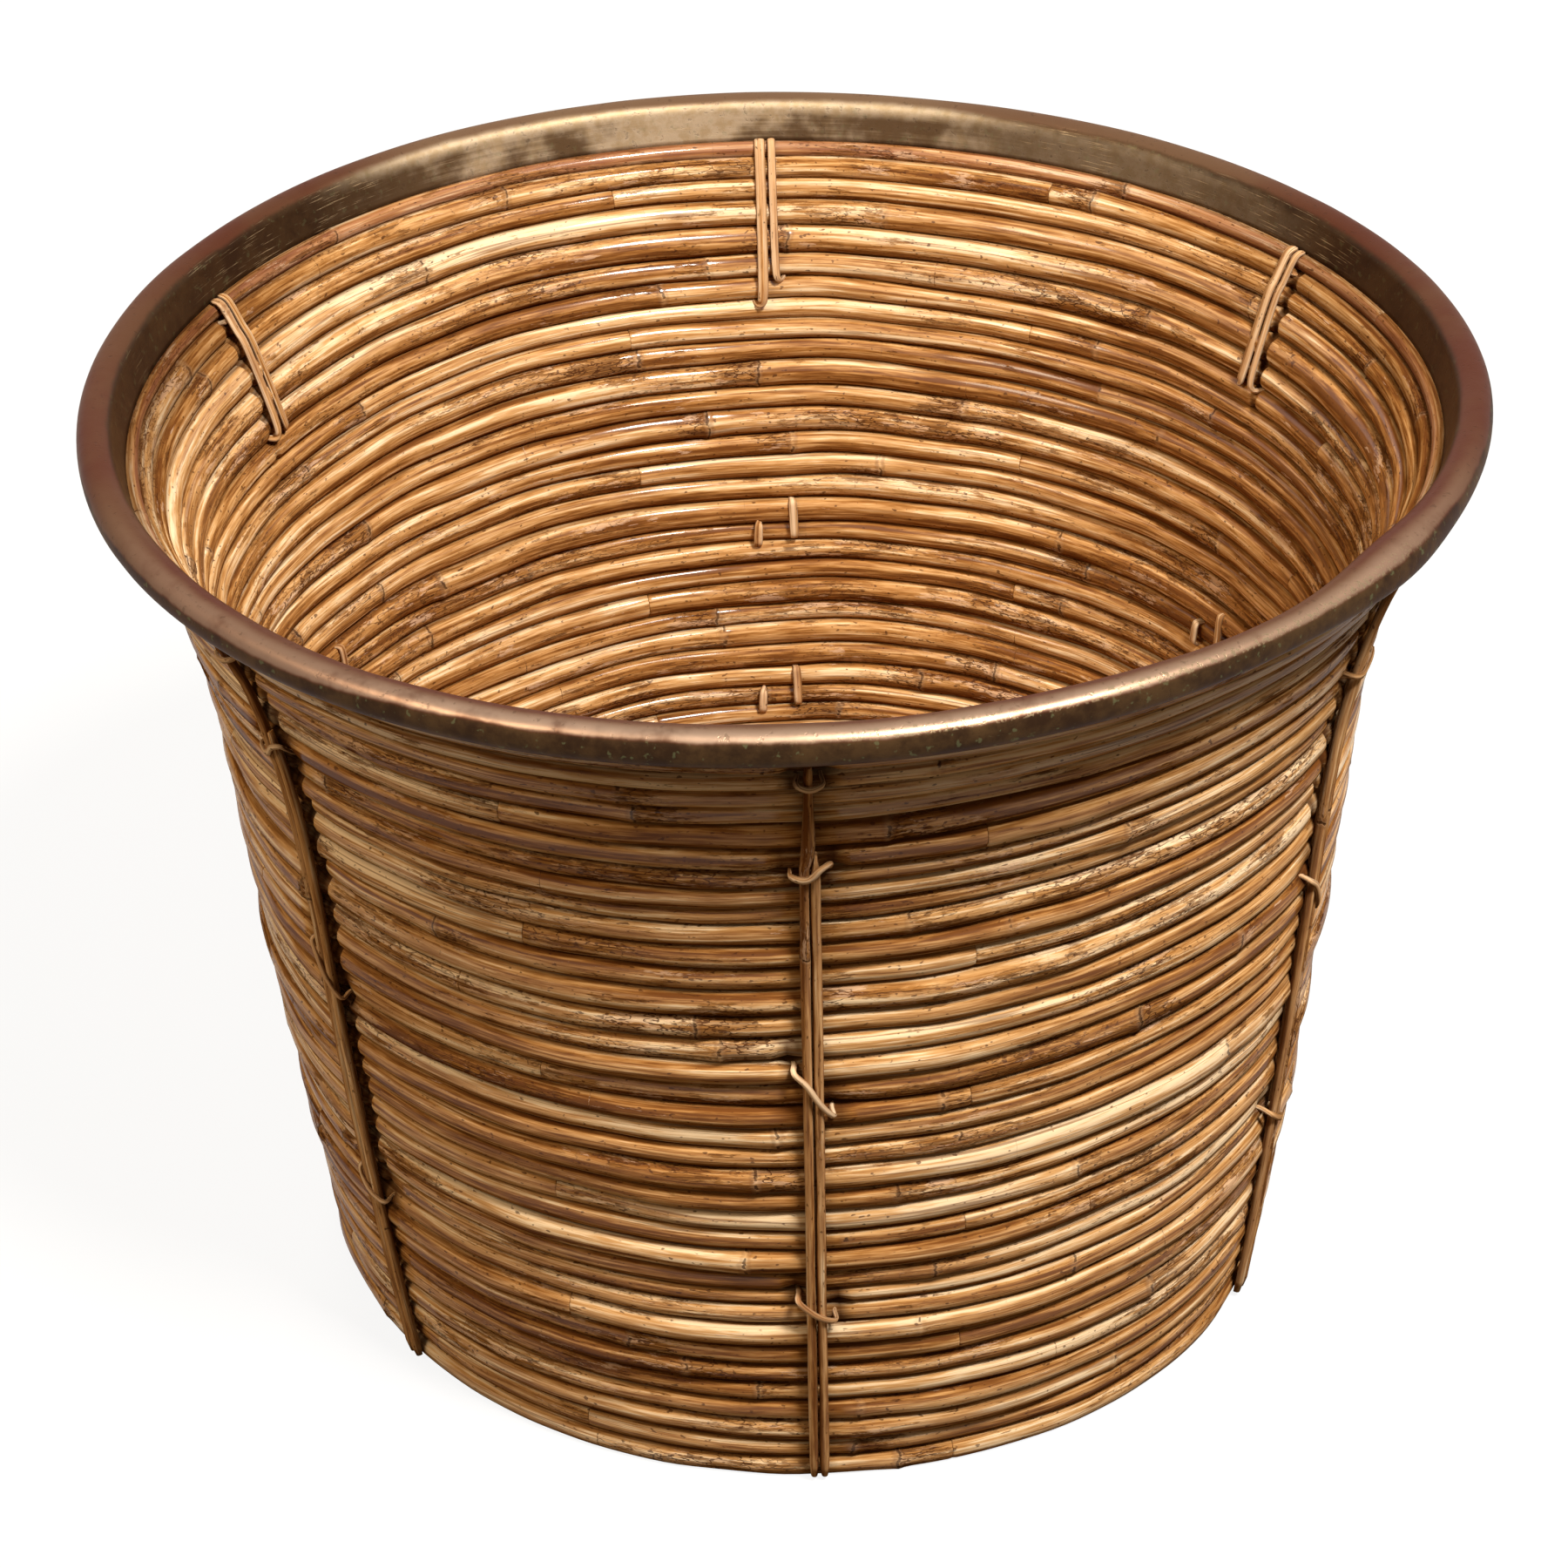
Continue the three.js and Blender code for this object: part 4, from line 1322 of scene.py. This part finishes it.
# Lamps, each with its turn and height in degrees as seen from the basket
LAMP_DISTANCE = 2.4
LAMPS = {
    "window": {"width": 0.55, "power": 90, "colour": (1.0, 0.965, 0.91), "turn": -53, "height": 59},
    "side_window": {"width": 0.9, "power": 25, "colour": (1.0, 0.83, 0.6), "turn": -152, "height": 44},
    "back_window": {"width": 1.0, "power": 44, "colour": (1.0, 0.9, 0.76), "turn": 98, "height": 18},
}
# The mirror image of this lamp would streak the brass
UNMIRRORED_LAMP = "back_window"
WORLD_LEVEL = 0.115
WORLD_TINT = (1.0, 0.8, 0.58)
WHITE = (1.0, 1.0, 1.0)
FLOOR_BOUNCE = (0.1, 0.076, 0.05)
FLOOR_WHITE = 0.88
FLOOR_HALF_WIDTH = 4
FLOOR_DROP = 0.2 * MM


class BASKET_OT_stage(bpy.types.Operator):
    """Sets the floor, the light and the camera."""

    bl_idname = "basket.stage"
    bl_label = "Stage"

    def execute(self, context):
        scene = context.scene
        self.set_floor(scene)
        self.set_world(scene)
        for name, lamp in LAMPS.items():
            self.add_lamp(scene, name, **lamp)
        self.set_camera(scene)
        scene.view_settings.view_transform = "Standard"
        return {"FINISHED"}

    def set_floor(self, scene):
        """A floor that is white with a shadow where it is seen, and dim as a source of light."""
        finish = Finish(bpy.data.materials.new("plain_floor"))
        pale, dim = (finish.node("ShaderNodeBsdfDiffuse", None, {"Color": paint(colour)})
                     for colour in (scene.basket_colours.floor, FLOOR_BOUNCE))
        white = finish.node("ShaderNodeEmission", None, {"Color": paint(WHITE), "Strength": 1.0})
        shown = finish.node("ShaderNodeMixShader", None, {0: FLOOR_WHITE, 1: pale, 2: white})
        mixed = finish.node("ShaderNodeMixShader", None, {0: finish.seen(), 1: dim, 2: shown})
        finish.node("ShaderNodeOutputMaterial", None, {"Surface": mixed})
        bm = bmesh.new()
        bmesh.ops.create_grid(bm, x_segments=1, y_segments=1, size=FLOOR_HALF_WIDTH)
        bmesh.ops.translate(bm, verts=bm.verts, vec=(0, 0, -FLOOR_DROP))
        floor = finished(bm, "floor")
        floor.data.materials.append(finish.owner)

    def set_world(self, scene):
        """A backdrop that is white where it is seen, and low and warm as a source of light."""
        scene.world = bpy.data.worlds.new("studio")
        finish = Finish(scene.world)
        seen = finish.seen()
        backdrop = finish.node("ShaderNodeBackground", None, {
            "Color": finish.mix(seen, WORLD_TINT, WHITE),
            "Strength": WORLD_LEVEL + seen * (1 - WORLD_LEVEL)})
        finish.node("ShaderNodeOutputWorld", None, {"Surface": backdrop})

    def add_lamp(self, scene, name, width, power, colour, turn, height):
        lamp = bpy.data.lights.new(name, "AREA")
        lamp.shape = "DISK"
        lamp.size = width
        lamp.energy = power
        lamp.color = colour
        light = bpy.data.objects.new(name, lamp)
        turn, height = radians(turn), radians(height)
        level = cos(height)
        away = Vector((cos(turn) * level, sin(turn) * level, sin(height)))
        light.location = CAMERA_TARGET + away * LAMP_DISTANCE
        light.rotation_euler = away.to_track_quat("Z", "Y").to_euler()
        light.visible_glossy = name != UNMIRRORED_LAMP
        scene.collection.objects.link(light)

    def set_camera(self, scene):
        camera = bpy.data.cameras.new("camera")
        camera.lens = CAMERA_LENS
        camera.sensor_width = CAMERA_SENSOR
        camera.shift_x, camera.shift_y = CAMERA_SHIFT
        camera.clip_start = CAMERA_NEAR
        holder = bpy.data.objects.new("camera", camera)
        turn = Matrix.Rotation(CAMERA_TURN, 3, "Z") @ Matrix.Rotation(pi / 2 - CAMERA_PITCH, 3, "X")
        back = turn @ Vector((0, 0, 1))
        holder.location = CAMERA_TARGET + back * CAMERA_DISTANCE
        holder.rotation_euler = (turn @ Matrix.Rotation(CAMERA_ROLL, 3, "Z")).to_euler()
        scene.collection.objects.link(holder)
        scene.camera = holder


class BASKET_PT_parts(bpy.types.Panel):
    """Lists the basket's pieces and its stage."""

    bl_label = "Rattan Basket"
    bl_space_type = "VIEW_3D"
    bl_region_type = "UI"
    bl_category = "Basket"

    def draw(self, context):
        for operator in OPERATORS:
            self.layout.operator(operator.bl_idname)
        for group in (context.scene.basket_sizes, context.scene.basket_colours):
            for name in group.__annotations__:
                self.layout.prop(group, name)


OPERATORS = (BASKET_OT_wall, BASKET_OT_stakes, BASKET_OT_lashings, BASKET_OT_rim, BASKET_OT_floor,
             BASKET_OT_stage)
CLASSES = (BasketSizes, BasketColours, *OPERATORS, BASKET_PT_parts)


def register():
    for item in CLASSES:
        bpy.utils.register_class(item)
    bpy.types.Scene.basket_sizes = bpy.props.PointerProperty(type=BasketSizes)
    bpy.types.Scene.basket_colours = bpy.props.PointerProperty(type=BasketColours)


def unregister():
    del bpy.types.Scene.basket_colours
    del bpy.types.Scene.basket_sizes
    for item in reversed(CLASSES):
        bpy.utils.unregister_class(item)


def main():
    register()
    bpy.ops.basket.wall()
    bpy.ops.basket.stakes()
    bpy.ops.basket.lashings()
    bpy.ops.basket.rim()
    bpy.ops.basket.floor()
    bpy.ops.basket.stage()


if __name__ == "__main__":
    main()
